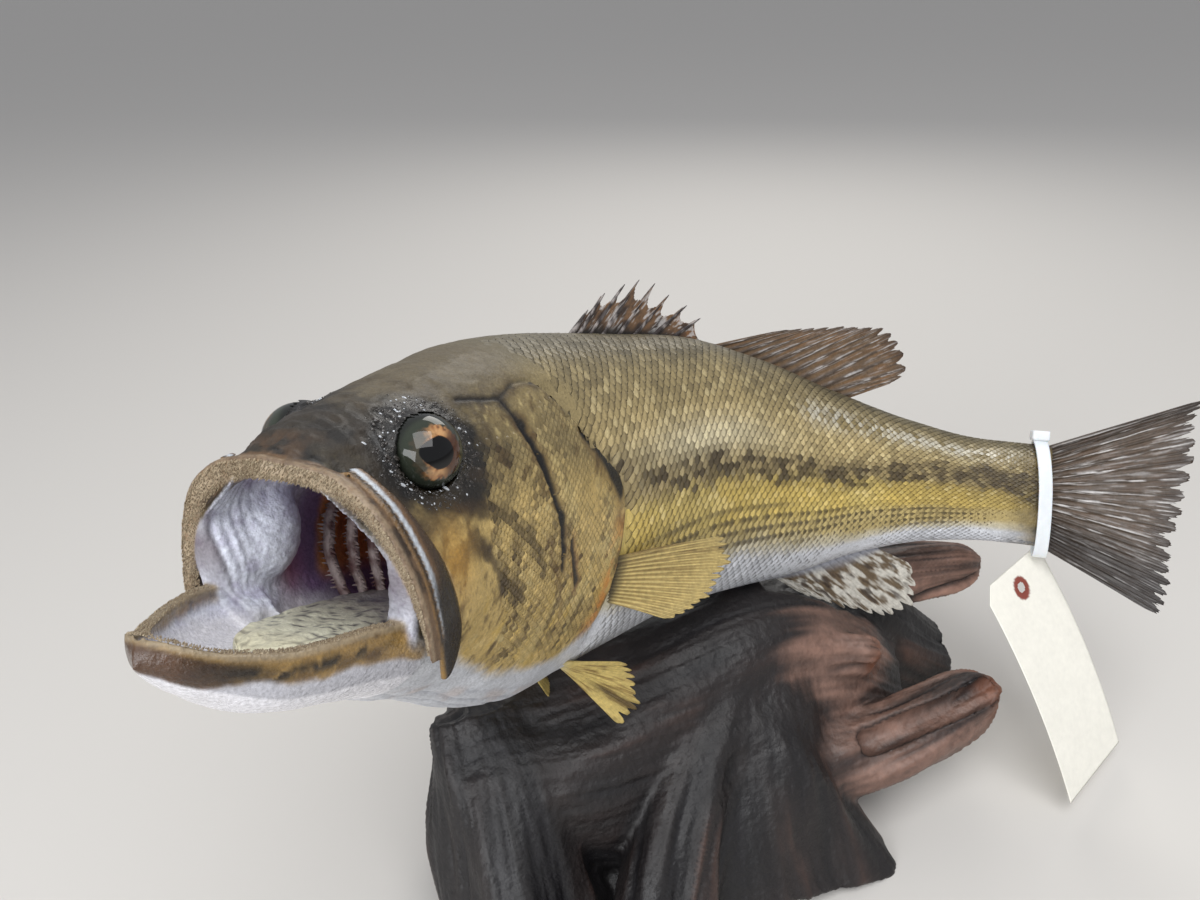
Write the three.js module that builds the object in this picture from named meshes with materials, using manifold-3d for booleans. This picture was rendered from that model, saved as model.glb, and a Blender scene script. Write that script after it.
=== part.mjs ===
// A mounted largemouth bass rising off a piece of driftwood, mouth open, a tie and card on its tail.
// Millimetres. +Z is up, the head is toward -X, the fish's left side faces -Y.
// The origin is the middle of the driftwood's flat underside, which stands on the shelf.
import * as THREE from 'three';
import Module from 'manifold-3d';

const wasm = await Module();
wasm.setup();

// ---------------------------------------------------------------- driving dimensions
const GAP = 0.3;               // air between neighbouring pieces
const HEAD_PITCH = 26.7;       // degrees the head is raised
const HEAD_ROLL = -5.7;        // degrees the back leans from the viewer
const HEAD_YAW = 30.7;         // degrees the head is turned from the long axis
const TURN_START = 110;        // station where the body starts to turn
const TURN_LENGTH = 350;       // stations over which it turns
const TURN_EVEN = 57;          // degrees of even turn to the left
const TURN_LATE = 22;          // degrees of turn gathered toward the tail
const HEAD_AT = [-203.1, -35.5, 288.8]; // snout station 0 above the driftwood
const HEAD_END = 122;          // station where head meets trunk
const TRUNK_END = 330;         // station where trunk meets tail stem
const STEM_END = 474;          // station where the tail fin starts
const COVER_FRONT = 84;        // gill cover's front edge
const COVER_REAR = 160;        // tip of the gill cover's flap
const COVER_THICK = 3.6;
const EYE_S = 47.2;
const EYE_OUT = 22.3;
const EYE_Z = 13.6;
const EYE_R = 11.6;
const SIDES = 24;              // facets round the body

// stations and heights of the back, the belly and the half width, unbent fish
const BACK_LINE = [[4, 12], [20, 21.5], [45, 31], [75, 42], [110, 52], [150, 58], [200, 63],
  [250, 67], [300, 61.5], [350, 49], [400, 36], [440, 29], [480, 28]];
const BELLY_LINE = [[4, -34], [40, -61], [60, -66], [100, -80], [130, -85], [160, -83], [200, -77],
  [250, -66], [300, -58], [330, -53], [380, -38], [420, -30], [450, -28], [480, -28.5]];
const HALF_WIDTH = [[4, 12], [20, 22], [45, 31], [80, 36], [120, 40.5], [160, 42], [200, 41],
  [250, 38], [300, 32], [350, 23], [400, 15], [440, 9.5], [480, 6.5]];
const JAW_WIDTH = [[4, 34], [20, 41.5], [45, 43], [80, 42], [120, 42.5], [160, 42], [200, 41]];

// ---------------------------------------------------------------- small mathematics
const rad = (d) => (d * Math.PI) / 180;
const lerp = (a, b, t) => a + (b - a) * t;
const clamp = (x, a, b) => Math.min(b, Math.max(a, x));
const smooth = (t) => t * t * (3 - 2 * t);

// smooth curve through a few knots of any dimension, monotone between knots
function curveAt(knots, x) {
  const n = knots.length;
  if (x <= knots[0][0]) return knots[0].slice(1);
  if (x >= knots[n - 1][0]) return knots[n - 1].slice(1);
  let i = 0;
  while (x > knots[i + 1][0]) i += 1;
  const h = knots[i + 1][0] - knots[i][0];
  const t = (x - knots[i][0]) / h;
  const slope = (k, c) => {
    if (k === 0 || k === n - 1) {
      const j = k === 0 ? 0 : n - 2;
      return (knots[j + 1][c] - knots[j][c]) / (knots[j + 1][0] - knots[j][0]);
    }
    const a = (knots[k][c] - knots[k - 1][c]) / (knots[k][0] - knots[k - 1][0]);
    const b = (knots[k + 1][c] - knots[k][c]) / (knots[k + 1][0] - knots[k][0]);
    return a * b <= 0 ? 0 : (2 * a * b) / (a + b);
  };
  const out = [];
  for (let c = 1; c < knots[0].length; c += 1) {
    const m0 = slope(i, c) * h;
    const m1 = slope(i + 1, c) * h;
    const t2 = t * t;
    const t3 = t2 * t;
    out.push((2 * t3 - 3 * t2 + 1) * knots[i][c] + (t3 - 2 * t2 + t) * m0
      + (3 * t2 - 2 * t3) * knots[i + 1][c] + (t3 - t2) * m1);
  }
  return out;
}
const back = (s) => curveAt(BACK_LINE, s)[0];
const belly = (s) => curveAt(BELLY_LINE, s)[0];
const halfWidth = (s) => curveAt(HALF_WIDTH, s)[0];
const jawWidth = (s) => (s < 200 ? curveAt(JAW_WIDTH, s)[0] : halfWidth(s));

// ---------------------------------------------------------------- the fish's own curve
const heading = (s) => {
  const t = Math.max(0, (s - TURN_START) / TURN_LENGTH);
  return rad(TURN_EVEN * t + TURN_LATE * t * t);
};
const PATH = [];
{
  let x = -60;
  let y = 0;
  for (let s = -60; s <= 640; s += 1) {
    PATH.push([x, y]);
    x += Math.cos(heading(s + 0.5));
    y += Math.sin(heading(s + 0.5));
  }
}
const POSE = new THREE.Matrix4().makeRotationZ(rad(HEAD_YAW))
  .multiply(new THREE.Matrix4().makeRotationY(rad(HEAD_PITCH)))
  .multiply(new THREE.Matrix4().makeRotationX(rad(HEAD_ROLL)));

// station along the fish, distance to its left, height over its axis -> the part's frame
function place([s, left, z]) {
  const k = clamp(s + 60, 0, PATH.length - 2);
  const i = Math.floor(k);
  const f = k - i;
  const a = heading(s);
  const x = lerp(PATH[i][0], PATH[i + 1][0], f) - Math.sin(a) * left;
  const y = lerp(PATH[i][1], PATH[i + 1][1], f) + Math.cos(a) * left;
  const v = new THREE.Vector3(x, -y, z).applyMatrix4(POSE);
  return [v.x + HEAD_AT[0], v.y + HEAD_AT[1], v.z + HEAD_AT[2]];
}

// point of the body's outline at a station; angle 0 is the back, a quarter turn is the left side
function outline(s, angle, inset = 0) {
  const t = back(s) - inset;
  const b = belly(s) + inset;
  const c = Math.cos(angle);
  const n = Math.sin(angle);
  const w = lerp(halfWidth(s), jawWidth(s), smooth(clamp(0.5 - 0.9 * c, 0, 1))) - inset;
  const mid = b + (t - b) * 0.56;
  const z = mid + (c > 0 ? t - mid : mid - b) * Math.sign(c) * Math.abs(c) ** 0.95;
  return [s, w * Math.sign(n) * Math.abs(n) ** 0.9, z];
}

// ---------------------------------------------------------------- mesh helpers
// a closed skin over rings of equal length, each end closed to its own middle
function loft(rings, toFrame = place) {
  const n = rings[0].length;
  const pos = [];
  const idx = [];
  for (const ring of rings) for (const p of ring) pos.push(...toFrame(p));
  const middle = (ring) => [0, 1, 2].map((k) => ring.reduce((a, p) => a + p[k], 0) / n);
  const last = rings.length - 1;
  pos.push(...toFrame(middle(rings[0])), ...toFrame(middle(rings[last])));
  const capA = rings.length * n;
  for (let i = 0; i < last; i += 1) {
    for (let j = 0; j < n; j += 1) {
      const a = i * n + j;
      const b = i * n + ((j + 1) % n);
      idx.push(a, b, a + n, b, b + n, a + n);
    }
  }
  for (let j = 0; j < n; j += 1) {
    const k = (j + 1) % n;
    idx.push(capA, k, j, capA + 1, last * n + j, last * n + k);
  }
  return outward(pos, idx);
}

// turns every triangle outward if the closed volume comes out negative
function outward(pos, idx) {
  let volume = 0;
  const v = (i) => new THREE.Vector3(pos[3 * i], pos[3 * i + 1], pos[3 * i + 2]);
  for (let i = 0; i < idx.length; i += 3) {
    volume += v(idx[i]).dot(v(idx[i + 1]).cross(v(idx[i + 2])));
  }
  if (volume < 0) {
    for (let i = 0; i < idx.length; i += 3) {
      [idx[i + 1], idx[i + 2]] = [idx[i + 2], idx[i + 1]];
    }
  }
  return { pos, idx };
}

function solid({ pos, idx }) {
  return new wasm.Manifold(new wasm.Mesh({
    numProp: 3,
    vertProperties: new Float32Array(pos),
    triVerts: new Uint32Array(idx),
  }));
}

function geometry(body) {
  const mesh = body.getMesh ? body.getMesh() : null;
  const g = new THREE.BufferGeometry();
  if (mesh) {
    const out = [];
    for (let i = 0; i < mesh.vertProperties.length; i += mesh.numProp) {
      out.push(mesh.vertProperties[i], mesh.vertProperties[i + 1], mesh.vertProperties[i + 2]);
    }
    g.setAttribute('position', new THREE.Float32BufferAttribute(out, 3));
    g.setIndex([...mesh.triVerts]);
  } else {
    g.setAttribute('position', new THREE.Float32BufferAttribute(body.pos, 3));
    g.setIndex(body.idx);
  }
  g.computeVertexNormals();
  return g;
}

// keeps only the largest closed piece, so that no crumb of a cut is left
function largest(body) {
  const pieces = body.decompose();
  return pieces.sort((a, b) => b.volume() - a.volume())[0];
}

const group = new THREE.Group();
group.name = 'mounted_largemouth_bass';
function add(name, body, color, roughness, metalness = 0) {
  const m = new THREE.MeshStandardMaterial({ color, roughness, metalness });
  const mesh = new THREE.Mesh(geometry(body), m);
  mesh.name = name;
  group.add(mesh);
}

// a plate between two rails: outer face on the rails, thickness pushed along a given direction
function band(outer, inner, push, steps, toFrame = place) {
  const rings = [];
  for (let i = 0; i <= steps; i += 1) {
    const t = i / steps;
    const a = outer(t);
    const b = inner(t);
    const d = push(t);
    rings.push([a, b, b.map((x, k) => x + d[k]), a.map((x, k) => x + d[k])]);
  }
  return loft(rings, toFrame);
}

// ---------------------------------------------------------------- body
function bodyRings(from, to, count, inset = () => 0, sides = SIDES) {
  const rings = [];
  for (let i = 0; i <= count; i += 1) {
    const s = lerp(from, to, i / count);
    const ring = [];
    for (let j = 0; j < sides; j += 1) ring.push(outline(s, (2 * Math.PI * j) / sides, inset(s)));
    rings.push(ring);
  }
  return rings;
}

// one gill cover: a shell on the head's outline with a rounded rear flap
function gillCover(side, grow = 0) {
  const rows = 10;
  const columns = 6;
  const rings = [];
  for (let i = 0; i <= rows; i += 1) {
    const v = i / rows;
    const angle = side * rad(lerp(40 - 2.4 * grow, 148 + 2.4 * grow, v));
    const bow = Math.sin(Math.PI * clamp(v * 0.92 + 0.02, 0, 1)) ** 0.6;
    const rear = lerp(128, COVER_REAR, bow) + grow;
    const front = lerp(96, COVER_FRONT, bow) - grow;
    const ring = [];
    for (let j = 0; j <= columns; j += 1) {
      ring.push(outline(lerp(front, rear, j / columns), angle, -grow));
    }
    for (let j = columns; j >= 0; j -= 1) {
      const edge = j === columns || j === 0 ? 0.45 : 1;
      ring.push(outline(lerp(front, rear, j / columns), angle, COVER_THICK * edge + grow));
    }
    rings.push(ring);
  }
  if (grow) {
    const shift = (ring, d) => ring.map(([s, l, z]) => [s, l, z + d]);
    rings[0] = shift(rings[0], grow);
    rings[rows] = shift(rings[rows], -grow);
  }
  return loft(rings);
}

// mouth ring: from the tip of the upper jaw (0) to the end of the maxilla (1); left side positive
const UPPER_RIM = [[0, 4.9, 0, 11.7], [0.13, 8, 10, 10.4], [0.27, 10, 19.3, 8.5],
  [0.42, 12.2, 30.3, 1.4], [0.56, 16, 37, -8.7], [0.7, 20.3, 41.2, -20.4],
  [0.86, 24.5, 43, -34], [1, 31, 41.5, -48]];
const UPPER_INNER = [[0, 6.5, 0, 5.2], [0.13, 11, 8.6, 4.3], [0.27, 14.3, 17.2, 1.6],
  [0.42, 16.5, 26.6, -4], [0.56, 20, 32.6, -13.2], [0.7, 24.4, 37.2, -24.2],
  [0.86, 29, 39.4, -36], [1, 34, 39, -47]];
const LOWER_RIM = [[0, -29.2, 0, -28], [0.16, -24.5, 8.3, -30], [0.32, -15.6, 16.4, -32.6],
  [0.5, -6, 23.8, -33], [0.66, 5, 29.4, -31.6], [0.82, 19, 33.6, -30], [1, 36, 36.5, -31]];
const mirrored = (knots) => (t) => {
  const p = curveAt(knots, Math.abs(t));
  return [p[0], Math.sign(t) * p[1], p[2]];
};

// the toothed arch of the upper jaw, one piece from corner to corner
function upperJaw(grow = 0) {
  const outer = mirrored(UPPER_RIM);
  const inner = mirrored(UPPER_INNER);
  const rings = [];
  const steps = 22;
  for (let i = 0; i <= steps; i += 1) {
    const t = lerp(-0.93, 0.93, i / steps);
    const a = outer(t);
    const b = inner(t);
    const back3 = [4.2 + 2 * grow, 0, 0.6];
    const grownA = [a[0] - grow, a[1] + Math.sign(t) * grow, a[2] + grow];
    const grownB = [b[0] - grow, b[1] - Math.sign(t) * grow, b[2] - grow];
    rings.push([grownA, grownB, grownB.map((x, k) => x + back3[k]),
      grownA.map((x, k) => x + back3[k])]);
  }
  return loft(rings);
}

// the maxilla: a blade beside the toothed arch, widening to a paddle at its lower end
function maxilla(side, grow = 0) {
  const rings = [];
  const steps = 12;
  for (let i = 0; i <= steps; i += 1) {
    const t = lerp(0.3, 1, i / steps);
    const p = curveAt(UPPER_RIM, t);
    const wide = lerp(4.5, 12.5, smooth(clamp((t - 0.3) / 0.62, 0, 1)))
      * (t > 0.9 ? Math.sqrt(clamp(1 - ((t - 0.9) / 0.105) ** 2, 0.1, 1)) : 1);
    const a = [p[0] + 4.9, side * (p[1] + 0.9), p[2] + 0.9];
    const b = [a[0] + wide, a[1] - side * wide * 0.12, a[2] + wide * 0.42];
    const inward = [0, -side * (2.6 + 2 * grow), 0];
    const g = [grow, side * grow];
    const a2 = [a[0] - g[0], a[1] + g[1], a[2] - g[0]];
    const b2 = [b[0] + g[0], b[1] + g[1], b[2] + g[0]];
    rings.push([a2, b2, b2.map((x, k) => x + inward[k]), a2.map((x, k) => x + inward[k])]);
  }
  return loft(rings);
}

// the lower jaw: a trough from the chin back under the throat
function lowerJawRing(t, filled, grow) {
  const rim = curveAt(LOWER_RIM, t);
  const depth = lerp(8, 27, smooth(clamp(t * 1.05, 0, 1)));
  const w = Math.max(rim[1], 0.6) + grow;
  const top = rim[2] + grow;
  const floor = filled ? top : lerp(-33.5, -46, smooth(clamp(t * 1.3, 0, 1)));
  const ring = [];
  const n = 10;
  for (let j = 0; j <= n; j += 1) {
    const a = (Math.PI * j) / n;
    ring.push([rim[0], w * Math.cos(a), top - (depth + 2 * grow) * Math.sin(a) ** 0.75]);
  }
  const lip = Math.min(4.2, w * 0.45);
  for (let j = 0; j <= n; j += 1) {
    const a = Math.PI - (Math.PI * j) / n;
    const inner = Math.max(w - lip, w * 0.5);
    const down = Math.min(top - floor, depth * 0.7) * Math.sin(a) ** 0.8;
    ring.push([rim[0] + (filled ? 0 : 0.01), inner * Math.cos(a), top - (filled ? 0 : down)]);
  }
  return ring;
}
function lowerJaw(filled = false, grow = 0) {
  const rings = [];
  const steps = 14;
  for (let i = 0; i <= steps; i += 1) {
    const t = lerp(0.012, 1, (i / steps) ** 1.5);
    const ring = lowerJawRing(t, filled, grow);
    const end = i === 0 ? -grow : (i === steps ? grow : 0);
    rings.push(ring.map(([s, l, z]) => [s + end, l, z]));
  }
  return loft(rings);
}

// the open space of the mouth, from in front of the lips to the throat
function mouthSpace() {
  const knots = [[0, -40, 8, 70, -82, 70], [0.15, 4, 6, 36, -46, 40], [0.35, 24, 7, 31, -46, 30],
    [0.6, 55, 8, 30, -48, 30], [0.85, 88, 2, 31, -44, 28], [1, 112, -8, 19, -34, 16]];
  const rings = [];
  for (let i = 1; i <= 10; i += 1) {
    const [s, top, wTop, bottom, wBottom] = curveAt(knots, lerp(0.15, 1, (i - 1) / 9));
    const ring = [];
    for (let j = 0; j < 18; j += 1) {
      const a = (2 * Math.PI * j) / 18;
      const c = Math.cos(a);
      const w = c > 0 ? wTop : wBottom;
      ring.push([s, w * Math.sign(Math.sin(a)) * Math.abs(Math.sin(a)) ** 0.7,
        (top + bottom) / 2 + ((top - bottom) / 2) * Math.sign(c) * Math.abs(c) ** 0.8]);
    }
    rings.push(ring);
  }
  return loft(rings);
}

// everything in front of the slanting plane of the lips
function beforeLips() {
  const quad = (l) => [[-60, l, 60], [-60, l, -110], [52, l, -110], [32.5, l, -48], [9.5, l, 11.5],
    [-8, l, 60]];
  return loft([quad(-80), quad(80)]);
}

function eyeball(side, r) {
  const rings = [];
  const rows = 9;
  for (let i = 0; i < rows; i += 1) {
    const a = lerp(0.09, 0.91, i / (rows - 1)) * Math.PI;
    const ring = [];
    for (let j = 0; j < 14; j += 1) {
      const b = (2 * Math.PI * j) / 14;
      ring.push([EYE_S + r * Math.sin(a) * Math.cos(b), side * (EYE_OUT + r * Math.cos(a)),
        EYE_Z + r * Math.sin(a) * Math.sin(b)]);
    }
    rings.push(ring);
  }
  return loft(rings);
}

function tongue() {
  const rings = [];
  for (let i = 0; i <= 8; i += 1) {
    const t = i / 8;
    const s = lerp(7, 78, t);
    const w = 14.5 * Math.sqrt(clamp(1 - (1 - Math.min(1, t * 3.2)) ** 2, 0.05, 1));
    const z = lerp(-41, -39.5, t);
    const ring = [];
    for (let j = 0; j < 10; j += 1) {
      const a = (2 * Math.PI * j) / 10;
      ring.push([s, w * Math.cos(a) - 2, z + (3.6 + 1 * t) * Math.sin(a)]);
    }
    rings.push(ring);
  }
  return loft(rings);
}

// gill arches of one side: a curved fan standing in the back of the mouth
function gillArches(side) {
  const rings = [];
  for (let i = 0; i <= 12; i += 1) {
    const t = i / 12;
    const bow = Math.sin(Math.PI * t);
    const z = lerp(-4, -32, t);
    const s0 = 72 - 4 * bow;
    const s1 = 90 + 4 * bow;
    const l0 = lerp(21, 25, bow);
    const l1 = lerp(9, 12, bow);
    rings.push([[s0, side * l0, z], [s1, side * l1, z], [s1, side * (l1 - 3), z],
      [s0, side * (l0 - 3), z]]);
  }
  return loft(rings);
}

// ---------------------------------------------------------------- fins
// a thin plate spread on rays; each ray is a root and a tip in the fish's own coordinates
function finPlate(rays, thick, normal) {
  const rings = rays.map(({ root, mid, tip }) => {
    const off = (p, d) => p.map((x, k) => x + normal[k] * d);
    return [off(root, thick / 2), off(mid, thick * 0.42), off(tip, thick * 0.28),
      off(tip, -thick * 0.28), off(mid, -thick * 0.42), off(root, -thick / 2)];
  });
  return loft(rings);
}
function rayFan(count, at) {
  const rays = [];
  for (let i = 0; i < count; i += 1) {
    const u = i / (count - 1);
    const { root, tip, bow } = at(u);
    const mid = root.map((x, k) => lerp(x, tip[k], 0.5) + (bow ? bow[k] : 0));
    rays.push({ root, mid, tip });
  }
  return rays;
}
const THICK = 2.2;

// a median fin: roots along the back or belly line, tips along a named outline of station and height
function medianFin({ from, to, count, line, tips, notch = 1, thick = THICK }) {
  return finPlate(rayFan(count, (u) => {
    const s = lerp(from, to, u);
    const root = [s, 0, line(s)];
    const end = curveAt(tips, u);
    const k = notch < 1 && Math.round(u * (count - 1)) % 2 ? notch : 1;
    return { root, tip: [lerp(s, end[0], k), 0, lerp(root[2], end[1], k)] };
  }), thick, [0, 1, 0]);
}
const spinyDorsal = () => medianFin({
  from: 176,
  to: 267,
  count: 19,
  notch: 0.78,
  line: (s) => back(s) + GAP + 0.1,
  tips: [[0, 186, 71], [0.2, 205, 84], [0.45, 228, 90], [0.7, 246, 85], [1, 269, 73]],
});
const softDorsal = () => medianFin({
  from: 275,
  to: 364,
  count: 13,
  line: (s) => back(s) + GAP + 0.1,
  tips: [[0, 318, 77], [0.3, 350, 82], [0.55, 378, 85], [0.75, 391, 77], [0.9, 397, 63], [1, 388, 55]],
});
const analFin = (thick = THICK) => medianFin({
  thick,
  from: 327,
  to: 388,
  count: 12,
  line: (s) => belly(s) - GAP - 0.1,
  tips: [[0, 346, -63], [0.3, 374, -70.5], [0.55, 400, -74], [0.8, 413, -62], [1, 409, -44]],
});
const TAIL_TIPS = [[0, 549, 60], [0.15, 543, 50], [0.45, 540, 6], [0.6, 537, -16], [0.85, 538, -45],
  [1, 536, -58]];
function tailFin() {
  return finPlate(rayFan(17, (u) => {
    const v = 1 - 2 * u;
    const tip = curveAt(TAIL_TIPS, u);
    return {
      root: [STEM_END + 0.5 + 2 * (1 - v * v), 0, 27.5 * v],
      tip: [tip[0], 0, tip[1]],
    };
  }), 5, [0, 1, 0]);
}
// a paired fin: root line on the flank, rays fanning back and out
function pairedFin(side, spec, grow = 0) {
  const middle = curveAt(spec.tips, 0.5);
  const along = spec.rootB.map((x, k) => x - spec.rootA[k]);
  const outTo = middle.map((x, k) => x - spec.rootA[k]);
  const n = new THREE.Vector3(...along).cross(new THREE.Vector3(...outTo)).normalize();
  const roots = [[0, ...spec.rootA], [1, ...spec.rootB]];
  return finPlate(rayFan(spec.count, (v) => {
    const u = lerp(-0.1 * grow, 1 + 0.1 * grow, v);
    const root = beyond(roots, u);
    const rim = beyond(spec.tips, u);
    const tip = rim.map((x, k) => x + (x - root[k]) * 0.04 * grow);
    const foot = root.map((x, k) => x - (rim[k] - x) * 0.04 * grow);
    return {
      root: [foot[0], side * foot[1], foot[2]],
      tip: [tip[0], side * tip[1], tip[2]],
    };
  }), 1.8 + 2 * grow, [n.x, side * n.y, n.z]);
}
// a curve carried on straight past its ends
function beyond(knots, u) {
  const end = clamp(u, 0, 1);
  const near = curveAt(knots, end === 0 ? 0.05 : 0.95);
  const p = curveAt(knots, end);
  return p.map((x, k) => x + (x - near[k]) * (Math.abs(u - end) / 0.05));
}
const PECTORAL = {
  count: 10,
  rootA: outline(163, rad(109), -1.9),
  rootB: outline(167, rad(122), -1.9),
  tips: [[0, 226, 57, -20], [0.3, 231, 58, -31], [0.6, 218, 58, -43], [0.85, 203, 56, -50],
    [1, 188, 52, -53]],
};
const PELVIC = {
  count: 9,
  rootA: outline(160, rad(156), -1.9),
  rootB: outline(171, rad(168), -1.9),
  tips: [[0, 192, 31, -80], [0.4, 206, 29, -92], [0.75, 213, 25, -106], [1, 208, 20, -111]],
};

// ---------------------------------------------------------------- driftwood, tie and card
const asIs = (p) => p;
// a limb of the driftwood: stations x, y, z, half width, half height
function limb(knots, steps, sides = 16) {
  const rings = [];
  const at = (t) => curveAt(knots, t);
  for (let i = 0; i <= steps; i += 1) {
    const t = i / steps;
    const [x, y, z, w, h] = at(t);
    const p = at(Math.max(0, t - 0.02));
    const q = at(Math.min(1, t + 0.02));
    const run = new THREE.Vector3(q[0] - p[0], q[1] - p[1], q[2] - p[2]).normalize();
    const up0 = Math.abs(run.z) > 0.9 ? new THREE.Vector3(0, 1, 0) : new THREE.Vector3(0, 0, 1);
    const across = new THREE.Vector3().crossVectors(run, up0).normalize();
    const up = new THREE.Vector3().crossVectors(across, run);
    const ring = [];
    for (let j = 0; j < sides; j += 1) {
      const a = (2 * Math.PI * j) / sides;
      const lump = 1 + 0.07 * Math.sin(3 * a + 5 * t) + 0.05 * Math.sin(5 * a - 7 * t);
      const c = Math.cos(a) * w * lump;
      const n = Math.sin(a) * h * lump;
      ring.push([x + across.x * c + up.x * n, y + across.y * c + up.y * n,
        z + across.z * c + up.z * n]);
    }
    rings.push(ring);
  }
  return solid(loft(rings, asIs));
}
const LIMBS = {
  body: [[0, -122, 46, 50, 34, 56], [0.3, -62, 34, 46, 52, 62], [0.6, 12, 24, 48, 56, 62],
    [0.85, 74, 14, 36, 46, 50], [1, 108, 2, 20, 34, 34]],
  crown: [[0, 40, 44, 106, 15, 12], [0.4, 26, 28, 84, 34, 30], [1, 6, 10, 40, 58, 52]],
  left_skirt: [[0, -112, 52, 92, 22, 24], [0.45, -116, 26, 56, 30, 34], [1, -122, -2, 0, 40, 44]],
  front_skirt: [[0, 6, 12, 62, 40, 34], [0.5, -10, -12, 36, 62, 34], [1, -24, -36, -6, 78, 32]],
  right_skirt: [[0, 40, 4, 46, 34, 28], [0.5, 54, -6, 28, 40, 26], [1, 58, -8, -6, 44, 24]],
  ridge: [[0, 50, 14, 92, 13, 12], [0.3, 8, 4, 78, 18, 17], [0.65, -46, -24, 48, 22, 20],
    [1, -88, -56, 0, 24, 22]],
  branch: [[0, -6, -14, 30, 26, 24], [0.4, 50, -34, 34, 20, 20], [0.75, 94, -52, 46, 17, 17],
    [1, 136, -60, 54, 17, 18]],
  knob: [[0, 14, 18, 78, 18, 15], [0.6, 58, -4, 78, 12, 11], [1, 88, -22, 74, 10, 9]],
  rear: [[0, 20, 44, 56, 34, 32], [0.5, 94, 34, 50, 38, 36], [1, 164, 8, 8, 30, 28]],
  far_branch: [[0, 84, 46, 58, 20, 18], [0.5, 138, 32, 74, 16, 15], [1, 192, -4, 78, 12, 11]],
};
function driftwood(cutters) {
  let wood = null;
  for (const knots of Object.values(LIMBS)) {
    const l = limb(knots, 6, 10);
    wood = wood ? wood.add(l) : l;
  }
  const under = new THREE.BoxGeometry(800, 800, 300);
  const p = under.getAttribute('position');
  const corners = [];
  for (const z of [-300, 0]) {
    for (const [x, y] of [[-400, -400], [400, -400], [400, 400], [-400, 400]]) {
      corners.push([x, y, z]);
    }
  }
  under.dispose();
  wood = wood.subtract(solid(loft([corners.slice(0, 4), corners.slice(4)], asIs)));
  for (const c of cutters) wood = wood.subtract(c);
  return largest(wood);
}

// the tie: a flat band round the tail stem just before the fin, with its square head on the back
const TIE_AT = 466;
function cableTie() {
  const n = 24;
  const section = [[-3.6, 0.6], [3.6, 0.6], [3.6, 2], [-3.6, 2]];
  const pos = [];
  const idx = [];
  for (let i = 0; i < n; i += 1) {
    const a = (2 * Math.PI * i) / n;
    const lean = TIE_AT + 3 * Math.cos(a);
    const slack = 1.5 * (1 - Math.cos(a));
    for (const [ds, out] of section) {
      const p = outline(lean + ds, a, -out);
      pos.push(...place([p[0], p[1] * 1.08, p[2] - slack]));
    }
  }
  for (let i = 0; i < n; i += 1) {
    for (let j = 0; j < 4; j += 1) {
      const a = i * 4 + j;
      const b = i * 4 + ((j + 1) % 4);
      const c = ((i + 1) % n) * 4 + j;
      const d = ((i + 1) % n) * 4 + ((j + 1) % 4);
      idx.push(a, b, c, b, d, c);
    }
  }
  const ring = solid(outward(pos, idx));
  const top = outline(TIE_AT + 3, 0, -0.6)[2];
  const foot = (z) => [[-4.6, -4], [4.6, -4], [4.6, 4], [-4.6, 4]]
    .map(([s, l]) => [TIE_AT + 3 + s, l, z]);
  return ring.add(solid(loft([foot(top + 0.9), foot(top + 6.2)])));
}

// the card tag: hangs from the tie, its lower end swung out and gently curved
const TAG_LENGTH = 121;
const TAG_WIDTH = 60;
const TAG_THICK = 0.7;
const TAG_TOP = [163.5, -41, 109];
const TAG_TURN = 98;
function cardTag() {
  const across = [Math.cos(rad(TAG_TURN - 90)), Math.sin(rad(TAG_TURN - 90))];
  const out = [-Math.sin(rad(TAG_TURN - 90)), Math.cos(rad(TAG_TURN - 90))];
  const rings = [];
  const steps = 10;
  const corner = 8;
  let x = 0;
  let z = 0;
  for (let i = 0; i <= steps; i += 1) {
    const v = i / steps;
    const lean = rad(lerp(42, 26, v));
    const along = v * TAG_LENGTH;
    const cut = Math.max(0, corner - along);
    const half = TAG_WIDTH / 2 - cut;
    const n = [Math.cos(lean), Math.sin(lean)];
    const p = (w, side) => [
      TAG_TOP[0] + across[0] * w - out[0] * (x - side * n[0]),
      TAG_TOP[1] + across[1] * w - out[1] * (x - side * n[0]),
      TAG_TOP[2] - z + side * n[1],
    ];
    const h = TAG_THICK / 2;
    rings.push([p(-half, -h), p(0, -h), p(half, -h), p(half, h), p(0, h), p(-half, h)]);
    x += Math.sin(lean) * (TAG_LENGTH / steps);
    z += Math.cos(lean) * (TAG_LENGTH / steps);
  }
  return loft(rings, asIs);
}

// ---------------------------------------------------------------- the whole
const SKIN = '#7d7142';
const DARK = '#3f3a2b';
const FIN = '#6a5a3a';
const GOLD = '#9a8442';

const covers = { left: gillCover(1), right: gillCover(-1) };
const coverCuts = [solid(gillCover(1, 0.5)), solid(gillCover(-1, 0.5))];
const jaw = solid(lowerJaw());
const arch = solid(upperJaw());
const archCut = solid(upperJaw(GAP));
const blades = [solid(maxilla(1)), solid(maxilla(-1))];
const bladeCuts = [solid(maxilla(1, GAP)), solid(maxilla(-1, GAP))];
const eyes = [solid(eyeball(1, EYE_R)), solid(eyeball(-1, EYE_R))];

function head() {
  let body = solid(loft(bodyRings(4, HEAD_END - GAP / 2, 11)));
  const cuts = [solid(mouthSpace()), solid(beforeLips()), solid(lowerJaw(true, GAP)), archCut,
    ...bladeCuts, ...coverCuts, solid(eyeball(1, EYE_R + GAP)), solid(eyeball(-1, EYE_R + GAP))];
  for (const c of cuts) body = body.subtract(c);
  return largest(body);
}
function trunk() {
  let body = solid(loft(bodyRings(HEAD_END + GAP / 2, TRUNK_END - GAP / 2, 11)));
  for (const c of coverCuts) body = body.subtract(c);
  return largest(body);
}
const bodyClear = solid(loft(bodyRings(126, 420, 14, () => -0.6)));

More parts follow.
